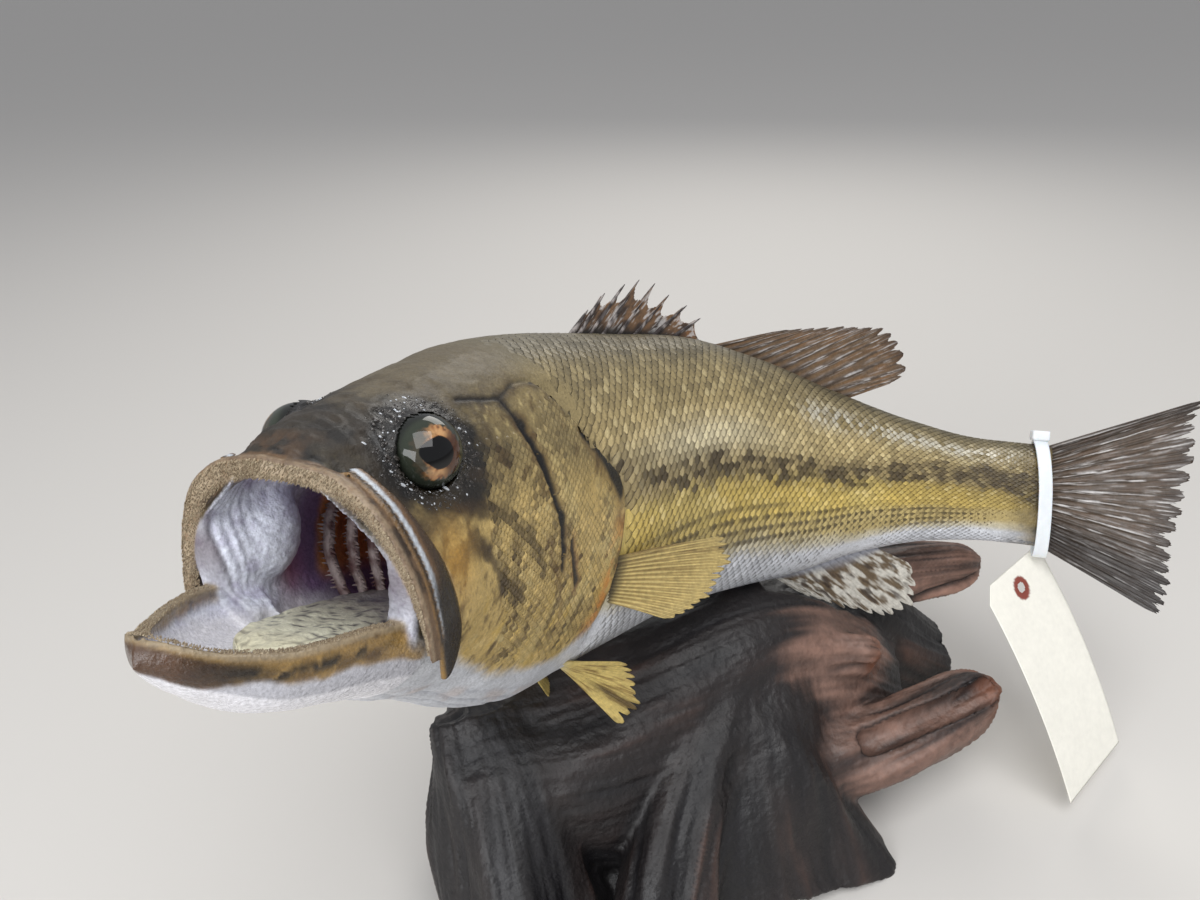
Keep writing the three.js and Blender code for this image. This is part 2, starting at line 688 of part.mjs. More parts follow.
add('head', head(), DARK, 0.3);
add('upper_jaw', arch, '#a98a58', 0.4);
add('maxilla_left', largest(blades[0].subtract(archCut)), '#8a6a3c', 0.3);
add('maxilla_right', largest(blades[1].subtract(archCut)), '#8a6a3c', 0.3);
let chin = jaw;
for (const c of [archCut, ...bladeCuts]) chin = chin.subtract(c);
add('lower_jaw', largest(chin), '#b39a70', 0.35);
add('tongue', solid(tongue()), '#b5ab8e', 0.5);
add('gill_arches_left', solid(gillArches(1)), '#6d5f63', 0.5);
add('gill_arches_right', solid(gillArches(-1)), '#6d5f63', 0.5);
let side = 0;
for (const name of ['left', 'right']) {
  let cover = solid(covers[name]);
  cover = cover.subtract(bladeCuts[side]);
  add(`gill_cover_${name}`, largest(cover), GOLD, 0.3);
  add(`eye_${name}`, eyes[side], '#1d150c', 0.08);
  side += 1;
}
add('trunk', trunk(), SKIN, 0.35);
add('tail_stem', solid(loft(bodyRings(TRUNK_END + GAP / 2, STEM_END, 8))), SKIN, 0.35);
add('dorsal_fin_spiny', solid(spinyDorsal()), FIN, 0.4);
add('dorsal_fin_soft', solid(softDorsal()), FIN, 0.4);
add('anal_fin', solid(analFin()), '#9c8f83', 0.4);
add('tail_fin', solid(tailFin()), '#4d4438', 0.4);
add('pectoral_fin_left', solid(pairedFin(1, PECTORAL)), GOLD, 0.4);
add('pectoral_fin_right', solid(pairedFin(-1, PECTORAL)), GOLD, 0.4);
const pelvics = [solid(pairedFin(1, PELVIC)), solid(pairedFin(-1, PELVIC))];
add('pelvic_fin_left', pelvics[0], GOLD, 0.4);
add('pelvic_fin_right', pelvics[1], GOLD, 0.4);
const finRoom = [1, -1].map((s) => solid(pairedFin(s, PELVIC, 1)));
add('driftwood', driftwood([bodyClear, ...finRoom, solid(analFin(9))]), '#2b1a14', 0.35);
add('cable_tie', cableTie(), '#e8e6e2', 0.4);
add('tag', solid(cardTag()), '#efe7cf', 0.8);

export default group;
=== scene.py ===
"""A mounted largemouth bass rising off a piece of driftwood, its mouth open, a tie and a card on its tail.

Lengths are millimetres in the fish's own straight frame (station s from the snout, l to its left, z up)
until place() bends them into the row frame in metres.
"""

import bpy
import numpy as np
import openvdb
from mathutils import Matrix, Vector


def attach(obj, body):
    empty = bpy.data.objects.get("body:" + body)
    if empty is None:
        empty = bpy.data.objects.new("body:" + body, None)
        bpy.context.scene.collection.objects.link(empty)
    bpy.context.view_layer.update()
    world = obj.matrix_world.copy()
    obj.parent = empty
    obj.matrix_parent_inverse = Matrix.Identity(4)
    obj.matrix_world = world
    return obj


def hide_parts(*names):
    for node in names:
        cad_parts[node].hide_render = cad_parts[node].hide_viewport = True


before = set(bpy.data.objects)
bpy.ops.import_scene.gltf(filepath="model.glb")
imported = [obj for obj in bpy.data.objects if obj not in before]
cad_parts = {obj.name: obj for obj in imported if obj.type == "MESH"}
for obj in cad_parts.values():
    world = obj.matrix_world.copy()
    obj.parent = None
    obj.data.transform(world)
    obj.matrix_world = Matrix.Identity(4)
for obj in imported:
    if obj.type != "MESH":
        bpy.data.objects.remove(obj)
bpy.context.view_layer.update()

# ------------------------------------------------------------------ the fish's shape, as in part.mjs
BACK_LINE = [(4, 12), (20, 21.5), (45, 31), (75, 42), (110, 52), (150, 58), (200, 63), (250, 67),
             (300, 61.5), (350, 49), (400, 36), (440, 29), (480, 28)]
BELLY_LINE = [(4, -34), (40, -61), (60, -66), (100, -80), (130, -85), (160, -83), (200, -77), (250, -66),
              (300, -58), (330, -53), (380, -38), (420, -30), (450, -28), (480, -28.5)]
HALF_WIDTH = [(4, 12), (20, 22), (45, 31), (80, 36), (120, 40.5), (160, 42), (200, 41), (250, 38),
              (300, 32), (350, 23), (400, 15), (440, 9.5), (480, 6.5)]
JAW_WIDTH = [(4, 34), (20, 41.5), (45, 43), (80, 42), (120, 42.5), (160, 42), (200, 41)]
HEAD_YAW, HEAD_PITCH, HEAD_ROLL = 30.7, 26.7, -5.7
HEAD_AT = (-203.1, -35.5, 288.8)
TURN_START, TURN_LENGTH, TURN_EVEN, TURN_LATE = 110, 350, 57, 22
STEM_END = 474
EYE = np.array([47.2, 22.3, 13.6])
EYE_R = 11.6
UPPER_RIM = [(0, 4.9, 0, 11.7), (.13, 8, 10, 10.4), (.27, 10, 19.3, 8.5), (.42, 12.2, 30.3, 1.4),
             (.56, 16, 37, -8.7), (.7, 20.3, 41.2, -20.4), (.86, 24.5, 43, -34), (1, 31, 41.5, -48)]
UPPER_INNER = [(0, 6.5, 0, 5.2), (.13, 11, 8.6, 4.3), (.27, 14.3, 17.2, 1.6), (.42, 16.5, 26.6, -4),
               (.56, 20, 32.6, -13.2), (.7, 24.4, 37.2, -24.2), (.86, 29, 39.4, -36), (1, 34, 39, -47)]
LOWER_RIM = [(0, -29.2, 0, -28), (.16, -24.5, 8.3, -30), (.32, -15.6, 16.4, -32.6), (.5, -6, 23.8, -33),
             (.66, 5, 29.4, -31.6), (.82, 19, 33.6, -30), (1, 36, 36.5, -31)]
MOUTH = [(4, 6, 36, -46, 40), (24, 7, 31, -46, 30), (55, 8, 30, -48, 30), (88, 2, 31, -44, 28),
         (112, -8, 19, -34, 16)]
EYE_FACING = np.array([-0.45, 0.885, 0.12])   # the way the lids open, left eye
PUPIL_FACING = np.array([-0.545, 0.833, 0.089])  # the way the glass eye looks
MID = 0.56                      # height of the body's widest line, as a share of its depth
ROUND_Z, ROUND_L = 0.95, 0.9    # powers that make the body's section slightly square
LIP = 4.2                       # thickness of the lower jaw's lip
MOUTH_END = 116                 # station where the throat closes
HEAD_ARC = 0.72                 # millimetres round the head per degree, roughly
SIDES = ((1, "left"), (-1, "right"))
# the gill cover's free edge: degrees from the back -> station
COVER_EDGE = [(30, 100), (40, 106), (55, 119), (65, 130), (74, 142), (82, 155), (88, 160), (95, 163),
              (104, 163.5), (117, 162), (129, 158), (138, 158), (147, 156), (158, 140), (170, 120),
              (180, 112)]


# ------------------------------------------------------------------ small mathematics
def unit(v):
    return v / np.maximum(np.linalg.norm(v, axis=-1, keepdims=True), 1e-9)


def curve(table, x, column=1):
    """Smooth curve through the table's knots, monotone between them."""
    k = np.array(table, float)
    xs, v = k[:, 0], k[:, column]
    h = np.diff(xs)
    d = np.diff(v) / h
    m = np.empty(len(xs))
    m[0], m[-1] = d[0], d[-1]
    a, b = d[:-1], d[1:]
    both = a * b > 0
    m[1:-1] = np.where(both, 2 * a * b / np.where(both, a + b, 1), 0)
    x = np.clip(x, xs[0], xs[-1])
    i = np.clip(np.searchsorted(xs, x, side="right") - 1, 0, len(h) - 1)
    t = (x - xs[i]) / h[i]
    t2, t3 = t * t, t * t * t
    return ((2 * t3 - 3 * t2 + 1) * v[i] + (t3 - 2 * t2 + t) * m[i] * h[i]
            + (3 * t2 - 2 * t3) * v[i + 1] + (t3 - t2) * m[i + 1] * h[i])


def curve3(table, x):
    return np.stack([curve(table, x, c) for c in (1, 2, 3)], -1)


def power(x, e):
    """A power of x that keeps its sign."""
    return np.sign(x) * np.abs(x) ** e


def turns(n):
    """Angles of n equal steps round a circle."""
    return 2 * np.pi * np.arange(n) / n


def folded(p):
    """Points with the right side turned over onto the left."""
    return p * [1, 0, 1] + np.abs(p) * [0, 1, 0]


def nearest(points, x):
    """Distance from each of x to the nearest of a few points, and which point that is."""
    best, at = np.full(len(x), 1e9), np.zeros(len(x), int)
    for k, point in enumerate(points):
        d = ((x - point) ** 2).sum(-1)
        hit = d < best
        best[hit], at[hit] = d[hit], k
    return np.sqrt(best), at


def line(table, x, column=1):
    k = np.array(table, float)
    return np.interp(x, k[:, 0], k[:, column])


def step(a, b, x):
    t = np.clip((x - a) / (b - a), 0, 1)
    return t * t * (3 - 2 * t)


def bump(x, centre, width):
    return np.exp(-(((x - centre) / width) ** 2))


def noise(p, seed=0):
    """Smooth noise from -1 to 1 at points (..., 3)."""
    i = np.floor(p).astype(np.int64)
    f = p - i
    f = f * f * (3 - 2 * f)
    out = 0
    for dx, dy, dz in np.ndindex(2, 2, 2):
        n = ((i[..., 0] + dx) * 374761393 + (i[..., 1] + dy) * 668265263
             + (i[..., 2] + dz) * 1274126177 + seed * 362437) & 0xFFFFFFFF
        n = ((n ^ (n >> 13)) * 1103515245) & 0xFFFFFFFF
        n = ((n ^ (n >> 15)) * 214013) & 0xFFFFFFFF
        w = ((f[..., 0] if dx else 1 - f[..., 0]) * (f[..., 1] if dy else 1 - f[..., 1])
             * (f[..., 2] if dz else 1 - f[..., 2]))
        out = out + w * ((n >> 8 & 0xFFFF) / 32767.5 - 1)
    return out


def fbm(p, seed=0, octaves=3):
    total, size = 0, 1.0
    for k in range(octaves):
        total = total + noise(p * 2**k + 17.3 * k, seed + k) * size
        size *= 0.5
    return total / 1.75


def colour(tone):
    """Linear colour of a hex code; arrays pass through."""
    if not isinstance(tone, str):
        return tone
    c = np.array([int(tone[i:i + 2], 16) for i in (1, 3, 5)]) / 255
    return np.where(c <= 0.04045, c / 12.92, ((c + 0.055) / 1.055) ** 2.4)


def blend(a, b, w):
    """Colour a turned toward colour b by weight w; hex codes, single colours or arrays."""
    a, b = colour(a), colour(b)
    w = np.asarray(w)[..., None]
    return a + (b - a) * w


def heading(s):
    t = np.maximum(0, (s - TURN_START) / TURN_LENGTH)
    return np.radians(TURN_EVEN * t + TURN_LATE * t * t)


_ss = np.arange(-60, 641.0)
_px = np.concatenate([[0], np.cumsum(np.cos(heading(_ss + 0.5)))])[:-1] - 60
_py = np.concatenate([[0], np.cumsum(np.sin(heading(_ss + 0.5)))])[:-1]
POSE = np.array(Matrix.Rotation(np.radians(HEAD_YAW), 3, "Z")
                @ Matrix.Rotation(np.radians(HEAD_PITCH), 3, "Y")
                @ Matrix.Rotation(np.radians(HEAD_ROLL), 3, "X"))


def place(p):
    """Straight fish coordinates (..., 3) in mm -> the row frame in metres."""
    p = np.asarray(p, float)
    s, left, z = p[..., 0], p[..., 1], p[..., 2]
    a = heading(s)
    x = np.interp(s, _ss, _px) - np.sin(a) * left
    y = np.interp(s, _ss, _py) + np.cos(a) * left
    v = np.stack([x, -y, z], -1)
    return (v @ POSE.T + np.array(HEAD_AT)) * 0.001


def section(s):
    """Top, bottom and the upper and lower half widths of the body at a station."""
    t, b = curve(BACK_LINE, s), curve(BELLY_LINE, s)
    w = curve(HALF_WIDTH, s)
    j = np.where(s < 200, curve(JAW_WIDTH, np.minimum(s, 200)), w)
    return t, b, w, j


def outline(s, angle, inset=0.0):
    """Point on the body; angle in radians, 0 the back, pi/2 the left side."""
    s, angle = np.broadcast_arrays(np.asarray(s, float), np.asarray(angle, float))
    t, b, w, j = section(s)
    t, b = t - inset, b + inset
    c, n = np.cos(angle), np.sin(angle)
    w = w + (j - w) * step(0, 1, 0.5 - 0.9 * c) - inset
    mid = b + (t - b) * MID
    z = mid + np.where(c > 0, t - mid, mid - b) * power(c, ROUND_Z)
    return np.stack([s, w * power(n, ROUND_L), z], -1)


def cover_edge(degrees):
    return line(COVER_EDGE, degrees)


def lips_plane(s, z):
    """Signed distance from the plane that cuts the mouth's opening, positive in front of it."""
    return (s - 9.5) * -0.9327 + (z - 11.5) * -0.3605


def sunk(s, degrees):
    """How far the skin lies inside the CAD outline: the coat's depth and the step behind the gill cover."""
    edge = cover_edge(degrees)
    has_edge = step(34, 44, degrees) * (1 - step(166, 174, degrees))
    behind = step(edge - 0.3, edge + 0.7, s)
    drop = has_edge * behind * 2.1 * (1 - step(edge, edge + 18, s))
    return 0.35 + 0.5 * step(-6, 6, s - np.maximum(edge, 100)) + drop


# ------------------------------------------------------------------ mesh helpers
def add_mesh(name, co, faces, smooth=True):
    """A mesh object in the row frame from points in metres and one or more face arrays."""
    groups = faces if isinstance(faces, list) else [faces]
    me = bpy.data.meshes.new(name)
    me.vertices.add(len(co))
    me.vertices.foreach_set("co", np.asarray(co, np.float32).ravel())
    loops = np.concatenate([g.ravel() for g in groups]).astype(np.int32)
    sizes = np.concatenate([np.full(len(g), g.shape[1]) for g in groups])
    me.loops.add(len(loops))
    me.loops.foreach_set("vertex_index", loops)
    me.polygons.add(len(sizes))
    me.polygons.foreach_set("loop_start", np.concatenate([[0], np.cumsum(sizes)[:-1]]).astype(np.int32))
    me.update(calc_edges=True)
    me.validate()
    me.polygons.foreach_set("use_smooth", np.full(len(me.polygons), smooth))
    ob = bpy.data.objects.new(name, me)
    bpy.context.scene.collection.objects.link(ob)
    return ob


def paint(ob, rgb):
    """Stores one linear colour per vertex as the attribute the materials read."""
    rgb = np.clip(np.broadcast_to(colour(rgb), (len(ob.data.vertices), 3)), 0, 1)
    rgba = np.concatenate([rgb, np.ones((len(rgb), 1))], 1).astype(np.float32)
    a = ob.data.color_attributes.new("paint", "FLOAT_COLOR", "POINT")
    a.data.foreach_set("color", rgba.ravel())


def number(ob, name, values):
    a = ob.data.attributes.new(name, "FLOAT", "POINT")
    a.data.foreach_set("value", np.broadcast_to(values, len(ob.data.vertices)).astype(np.float32).ravel())


def uv_map(ob, uv):
    """A UV map named OFBake, from one pair per vertex."""
    layer = ob.data.uv_layers.new(name="OFBake")
    index = np.zeros(len(ob.data.loops), np.int32)
    ob.data.loops.foreach_get("vertex_index", index)
    layer.data.foreach_set("uv", np.asarray(uv, np.float32)[index].ravel())


def grid_faces(rows, columns, closed=False, start=0):
    """Quads of a rows x columns grid of vertices, columns closed into a ring if asked."""
    i = np.arange(rows - 1)[:, None]
    j = np.arange(columns if closed else columns - 1)[None, :]
    k = (j + 1) % columns
    q = np.stack([i * columns + j, i * columns + k, (i + 1) * columns + k, (i + 1) * columns + j], -1)
    return q.reshape(-1, 4) + start


def outward(co, faces):
    """Faces turned so that the closed shape's volume is positive."""
    a, b, c = co[faces[:, 0]], co[faces[:, 1]], co[faces[:, 2]]
    d = co[faces[:, -1]]
    volume = np.einsum("ij,ij->i", a, np.cross(b, c)).sum()
    if faces.shape[1] == 4:
        volume += np.einsum("ij,ij->i", a, np.cross(c, d)).sum()
    return faces if volume > 0 else faces[:, ::-1]


def settle(ob, material, slot, *nodes):
    """Gives a piece its material, hangs it on the root body and hides the CAD parts it replaces; slot is not
    used.
    """
    ob.data.materials.append(material)
    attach(ob, "root")
    if nodes:
        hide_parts(*nodes)


# ------------------------------------------------------------------ level sets
VOXEL = 0.8
SLOW_FROM, SLOW_TO, SLOW_BY = 168, 200, 2.4   # behind the head the grid is drawn out along the fish


def _stations():
    s = np.arange(-60, 520, 0.25)
    rate = 1 / (1 + (SLOW_BY - 1) * step(SLOW_FROM, SLOW_TO, s))
    u = np.concatenate([[0], np.cumsum((rate[1:] + rate[:-1]) / 2 * 0.25)])
    return s, u - np.interp(0, s, u)


_WS, _WU = _stations()
GRID_S = (-36, 477)
GRID_L = 50.4
GRID_Z = (-92, 72)


def superfield(t, b, w_top, w_bottom, z, left, e_z, e_l):
    """The angle round a section, in degrees from the back, and the rough distance from its surface."""
    mid = b + (t - b) * MID
    c = (z - mid) / np.where(z > mid, t - mid, mid - b)
    c = power(c, 1 / e_z)
    w = w_top + (w_bottom - w_top) * step(0, 1, 0.5 - 0.9 * np.clip(c, -1, 1))
    n = np.abs(left / w) ** (1 / e_l)
    r = np.sqrt(c * c + n * n) + 1e-4
    reach = np.sqrt(left * left + (z - mid) ** 2)
    return np.degrees(np.arctan2(n, c)), reach - reach / r ** ((e_z + e_l) / 2)


def smin(a, b, k):
    h = np.maximum(k - np.abs(a - b), 0) / k
    return np.minimum(a, b) - h * h * k * 0.25


def smax(a, b, k):
    return -smin(-a, -b, k)


def ring_shape(a, b, push, sides=18, square=0.55):
    """Rounded section between rails a and b, thickened by push; arrays (rings, 3) -> (rings, sides, 3)."""
    q = turns(sides)
    x, y = power(np.cos(q), square), power(np.sin(q), square)
    m = (a + b) / 2 + push / 2
    return m[:, None] + ((a - b) / 2)[:, None] * x[None, :, None] + (push / 2)[:, None] * y[None, :, None]


def loft_mesh(rings):
    """Closed loft: vertices, quads and end triangles."""
    n, m = rings.shape[:2]
    co = np.concatenate([rings.reshape(-1, 3), rings[0].mean(0)[None], rings[-1].mean(0)[None]])
    quads = grid_faces(n, m, closed=True)
    j = np.arange(m)
    k = (j + 1) % m
    last = (n - 1) * m
    caps = np.concatenate([np.stack([np.full(m, n * m), k, j], 1),
                           np.stack([np.full(m, n * m + 1), last + j, last + k], 1)])
    return co, quads, caps


class Grid:
    """Dense distance fields over a box; level sets of lofts are sampled onto it."""

    def __init__(self, low, high, voxel):
        self.low = np.array(low, float)
        self.voxel = voxel
        self.shape = tuple(int(np.ceil((h - l) / voxel)) + 1 for l, h in zip(low, high))

    def axis(self, k):
        return (self.low[k] + self.voxel * np.arange(self.shape[k])).astype(np.float32)

    def loft(self, rings, reach=6):
        co, quads, caps = loft_mesh(rings)
        turned = outward(co, quads)
        if turned is not quads:
            caps = caps[:, ::-1]
        grid = openvdb.FloatGrid.createLevelSetFromPolygons(
            points=np.ascontiguousarray(co - self.low, np.float32),
            triangles=np.ascontiguousarray(caps, np.uint32), quads=np.ascontiguousarray(turned, np.uint32),
            transform=openvdb.createLinearTransform(voxelSize=self.voxel), halfWidth=reach)
        out = np.zeros(self.shape, np.float32)
        grid.copyToArray(out)
        return out

    def surface(self, field):
        band = 3 * self.voxel
        grid = openvdb.FloatGrid(band)
        grid.copyFromArray(np.ascontiguousarray(np.clip(field, -band, band)), tolerance=0)
        grid.transform = openvdb.createLinearTransform(voxelSize=self.voxel)
        points, quads = grid.convertToQuads(isovalue=0.0)
        index = points / self.voxel
        for _ in range(3):
            value, slope = self.sample(field, index, gradient=True)
            size = np.maximum((slope**2).sum(-1, keepdims=True), 1e-3)
            index = index - np.clip(value[:, None] * slope / size, -0.5, 0.5)
        return index * self.voxel + self.low, outward(points.astype(float), quads.astype(np.int64)), index

    def sample(self, field, index, gradient=False):
        i = np.clip(np.floor(index).astype(int), 0, np.array(self.shape) - 2)
        f = np.clip(index - i, 0, 1)
        x, y, z = i.T
        c = [[[field[x + a, y + b, z + d] for d in (0, 1)] for b in (0, 1)] for a in (0, 1)]
        fx, fy, fz = f.T

        def mix(p, q, t):
            return p + (q - p) * t

        x0 = [[mix(c[0][b][d], c[1][b][d], fx) for d in (0, 1)] for b in (0, 1)]
        value = mix(mix(x0[0][0], x0[1][0], fy), mix(x0[0][1], x0[1][1], fy), fz)
        if not gradient:
            return value
        dx = [[c[1][b][d] - c[0][b][d] for d in (0, 1)] for b in (0, 1)]
        gx = mix(mix(dx[0][0], dx[1][0], fy), mix(dx[0][1], dx[1][1], fy), fz)
        gy = mix(x0[1][0] - x0[0][0], x0[1][1] - x0[0][1], fz)
        gz = mix(x0[0][1], x0[1][1], fy) - mix(x0[0][0], x0[1][0], fy)
        return value, np.stack([gx, gy, gz], -1)


# ------------------------------------------------------------------ the one skin
def upper_rails(t):
    """Outer and inner edge of the toothed arch, t from -1 at the right corner to 1 at the left."""
    flip = np.where(t < 0, -1, 1)[:, None] * np.array([0, 1, 0]) + np.array([1, 0, 1])
    return curve3(UPPER_RIM, np.abs(t)) * flip, curve3(UPPER_INNER, np.abs(t)) * flip


def upper_jaw_rings():
    t = np.linspace(-0.93, 0.93, 150)
    a, b = upper_rails(t)
    b = a + (b - a) * (1 - 0.75 * step(0.76, 0.93, np.abs(t)))[:, None]
    return ring_shape(a, b, np.broadcast_to([5.0, 0, 0.7], a.shape), square=0.6)


def maxilla_width(t):
    wide = 4.5 + 8 * step(0.3, 0.92, t)
    return wide * np.where(t > 0.9, np.sqrt(np.clip(1 - ((t - 0.9) / 0.105) ** 2, 0.06, 1)), 1)


def maxilla_rails(t):
    p = curve3(UPPER_RIM, t)
    wide = maxilla_width(t)
    a = p + np.stack([4.9 + 0 * t, 0.9 + 0 * t, 0.9 + 0 * t], -1)
    b = a + np.stack([wide, -wide * 0.12, wide * 0.42], -1)
    return a, b


def maxilla_rings():
    t = np.linspace(0.26, 1.0, 90)
    a, b = maxilla_rails(np.maximum(t, 0.3))
    a = a + np.stack([(t - 0.3).clip(-1, 0) * 40, 0 * t, 0 * t], -1)
    return ring_shape(a, b, np.broadcast_to([0, -2.6, 0], a.shape), square=0.7)


def lower_jaw_rings():
    t = 0.012 + 0.988 * np.linspace(0, 1, 80) ** 1.5
    rim = curve3(LOWER_RIM, t)
    depth = 8 + 19 * step(0, 1, t * 1.05)
    w = np.maximum(rim[:, 1], 0.6)
    top = rim[:, 2]
    floor = -33.5 - 12.5 * step(0, 1, t * 1.3)
    a = np.pi * np.linspace(0, 1, 25)
    outer = np.stack([rim[:, :1] + 0 * a, w[:, None] * np.cos(a),
                      top[:, None] - depth[:, None] * np.sin(a) ** 0.75], -1)
    lip = np.minimum(LIP, w * 0.45)
    b = np.pi - a
    inner = np.maximum(w - lip, w * 0.5)
    down = np.minimum(top - floor, depth * 0.7) * step(-0.02, 0.2, t)
    trough = np.stack([rim[:, :1] + 0.01 + 0 * b, inner[:, None] * np.cos(b),
                       top[:, None] - down[:, None] * np.sin(np.abs(b)).clip(0) ** 0.8], -1)
    return np.concatenate([outer, trough], 1)


def ball(grid_axes, centre, radii):
    s, left, z = grid_axes
    q = np.sqrt(((s - centre[0]) / radii[0]) ** 2 + ((left - centre[1]) / radii[1]) ** 2
                + ((z - centre[2]) / radii[2]) ** 2)
    return ((q - 1) * min(radii)).astype(np.float32)


def build_skin():
    u0, u1 = np.interp(GRID_S, _WS, _WU)
    grid = Grid((u0, -GRID_L, GRID_Z[0]), (u1, GRID_L, GRID_Z[1]), VOXEL)
    s1 = np.interp(grid.axis(0), _WU, _WS).astype(np.float32)
    s, left, z = s1[:, None, None], grid.axis(1)[None, :, None], grid.axis(2)[None, None, :]
    axes = (s, left, z)
    t, b, w, j = (x.astype(np.float32)[:, None, None] for x in section(s1))
    degrees, body = superfield(t, b, w, j, z, left, ROUND_Z, ROUND_L)
    near = np.abs(body) < 6
    s_full = np.broadcast_to(s, body.shape)
    body[near] += sunk(s_full[near], degrees[near]) + 0.3 * step(370, 420, s_full[near])
    shell = body + 2.2
    body = np.maximum(body, 4.2 - s)
    body = np.maximum(body, s - (STEM_END + 1.5))

    m = [line(MOUTH, s1, c).astype(np.float32)[:, None, None] for c in (1, 2, 3, 4)]
    _, mouth = superfield(m[0], m[2], m[1], m[3], z, left, 0.8, 0.7)
    mouth = smax(mouth, s - MOUTH_END, 8)
    for side in (1, -1):
        chamber = ball(axes, (96, side * 24, -18), (17, 11, 23))
        mouth = smin(mouth, chamber, 5)
    # the dried right cheek bulges into the mouth
    for centre, radii in (((43, -29, -15), (10, 9, 15)), ((33, -32, -20), (9, 6, 13)),
                          ((30, -27, -38), (12, 8, 5))):
        mouth = smax(mouth, -ball(axes, centre, radii), 5)
    mouth = smax(mouth, shell, 1.5)
    flesh = smax(body, -mouth, 2.0)
    flesh = smax(flesh, lips_plane(s, z), 1.2)
    jaw = grid.loft(lower_jaw_rings())
    arch = grid.loft(upper_jaw_rings())
    blade = grid.loft(maxilla_rings())
    blade = np.minimum(blade, blade[:, ::-1])
    for bone, joint in ((jaw, 3.0), (arch, 0.9), (blade, 0.7)):
        flesh = smin(flesh, bone, joint)
    for side in (1, -1):
        flip = np.array([1, side, 1])
        eye, facing = EYE * flip, EYE_FACING * flip
        rim = ball(axes, eye - facing * 2.4, (12.9, 12.9, 12.9))
        flesh = smin(flesh, rim, 3.5)
        flesh = smax(flesh, -ball(axes, eye + facing * 14, (14, 14, 14)), 1.3)
        flesh = np.maximum(flesh, -ball(axes, eye, (EYE_R + 0.05,) * 3))
    points, quads, index = grid.surface(flesh)
    facts = {name: grid.sample(f, index) for name, f in
             (("mouth", mouth), ("jaw", jaw), ("arch", arch), ("blade", blade))}
    facts["normal"] = unit(grid.sample(flesh, index, gradient=True)[1])
    p = points.copy()
    p[:, 0] = np.interp(points[:, 0], _WU, _WS)
    return p, quads, facts


def body_angle(p):
    """Degrees from the back, 0 to 180, of points near the body's surface."""
    t, b, w, j = section(p[:, 0])
    return superfield(t, b, w, j, p[:, 2], p[:, 1], ROUND_Z, ROUND_L)[0]


# ------------------------------------------------------------------ folds and lumps
GROOVE = [(89, 57), (94, 68), (101, 83), (107, 92), (111, 103)]
GROOVE_LOW = [(116, 98), (121, 104), (125, 109)]
NAPE_CRACK = [(66, 36), (75, 40), (84, 43), (89, 57)]
COVER_CRACK = [(84, 43), (95, 38), (106, 40), (119, 55)]
EAR = [(128, 63), (135, 69), (142, 75), (150, 82), (156, 87)]


def eye_distance(p):
    return np.sqrt(((folded(p) - EYE) ** 2).sum(-1)) - EYE_R


def throat_rays(q, a):
    """0 in the creases between the rays that spread the gill membranes, 1 on the rays."""
    return np.abs(np.sin(a * 0.42 + 1.2 * fbm(q, 151)))


def cheek_relief(p, a):
    """Height in mm of the shrunken skin over the gill cover and cheek, with its creases."""
    s = p[..., 0]
    q = p / 10
    h = 0.55 * fbm(q * 0.9, 141) + 0.16 * fbm(q * 2.6, 143)
    for path, depth, inner, outer in ((GROOVE, 0.9, 0.3, 1.8), (GROOVE_LOW, 0.6, 0.3, 1.6),
                                      (COVER_CRACK, 0.5, 0.2, 1.4), (EAR, 0.9, 1.0, 4.2)):
        h = h - depth * (1 - step(inner, outer, segment_distance(s, a, path)))
    return h


def head_relief(p, a, facts):
    s, z = p[:, 0], p[:, 2]
    q = p / 10
    top = (1 - step(40, 62, a)) * (1 - step(75, 105, s))
    ridged = 1 - np.abs(noise(q * 2.4, 147)) * 2
    h = cheek_relief(p, a) * (1 - top)
    h = h + top * (0.7 * fbm(q * 1.1, 145) + (0.12 + 0.5 * (1 - step(30, 52, s))) * ridged - 0.75)
    h = h - 0.5 * (1 - step(0.2, 1.2, segment_distance(s, a, NAPE_CRACK)))
    around = 1 - step(3, 10, eye_distance(p))
    h = h + around * 0.35 * noise(q * 5.5, 149)
    skin = step(0.8, 2.2, facts["mouth"]) * step(0.4, 2.0, facts["arch"]) * step(0.3, 1.5, facts["blade"])
    skin = skin * step(0.2, 1.5, eye_distance(p)) * (0.35 + 0.65 * step(0.5, 3, facts["jaw"]))
    throat = step(150, 160, a) * step(30, 60, s)
    h = h * (1 - 0.6 * throat) + throat * 0.9 * (throat_rays(q, a) - 0.6) * (1 - step(118, 150, s))
    nostril = sum(0.9 * bump(np.sqrt(((folded(p) - c) ** 2).sum(-1)), 0, r)
                  for c, r in (((27, 14, 16.9), 1.7), ((21.5, 14, 19.5), 1.5)))
    h = h * skin - nostril
    inside = 1 - step(0.3, 1.5, facts["mouth"])
    wrinkle = np.sin(s * 2.1 + 4.5 * fbm(q * np.array([0.6, 1, 0.8]), 153) + z * 0.5)
    folds = 0.24 * wrinkle * (1 - step(28, 38, s)) + 0.6 * fbm(q * 1.6, 155) + 0.3 * noise(q * 6, 157)
    _, rim = jaw_rim_at(s)
    lip = (1 - step(1.5, 3.5, np.abs(rim - z))) * (1 - step(0.4, 2.0, facts["jaw"])) * (1 - step(34, 40, s))
    return (h + inside * folds * step(0.4, 2, facts["arch"])) * (1 - step(118, 140, s)) * (1 - lip)


# ------------------------------------------------------------------ markings
OLIVE_TOP, OLIVE, TAN, GOLD = "#645b44", "#8f7f58", "#baa573", "#c9b268"
STRIPE, PALE, BELLY = "#382a18", "#bdb7a4", "#cbcdd2"
HEAD_TOP, HEAD_DARK, CHEEK, ORANGE = "#5d533f", "#0e0c0b", "#bda265", "#b8742f"
WHITE = "#c3c5ca"


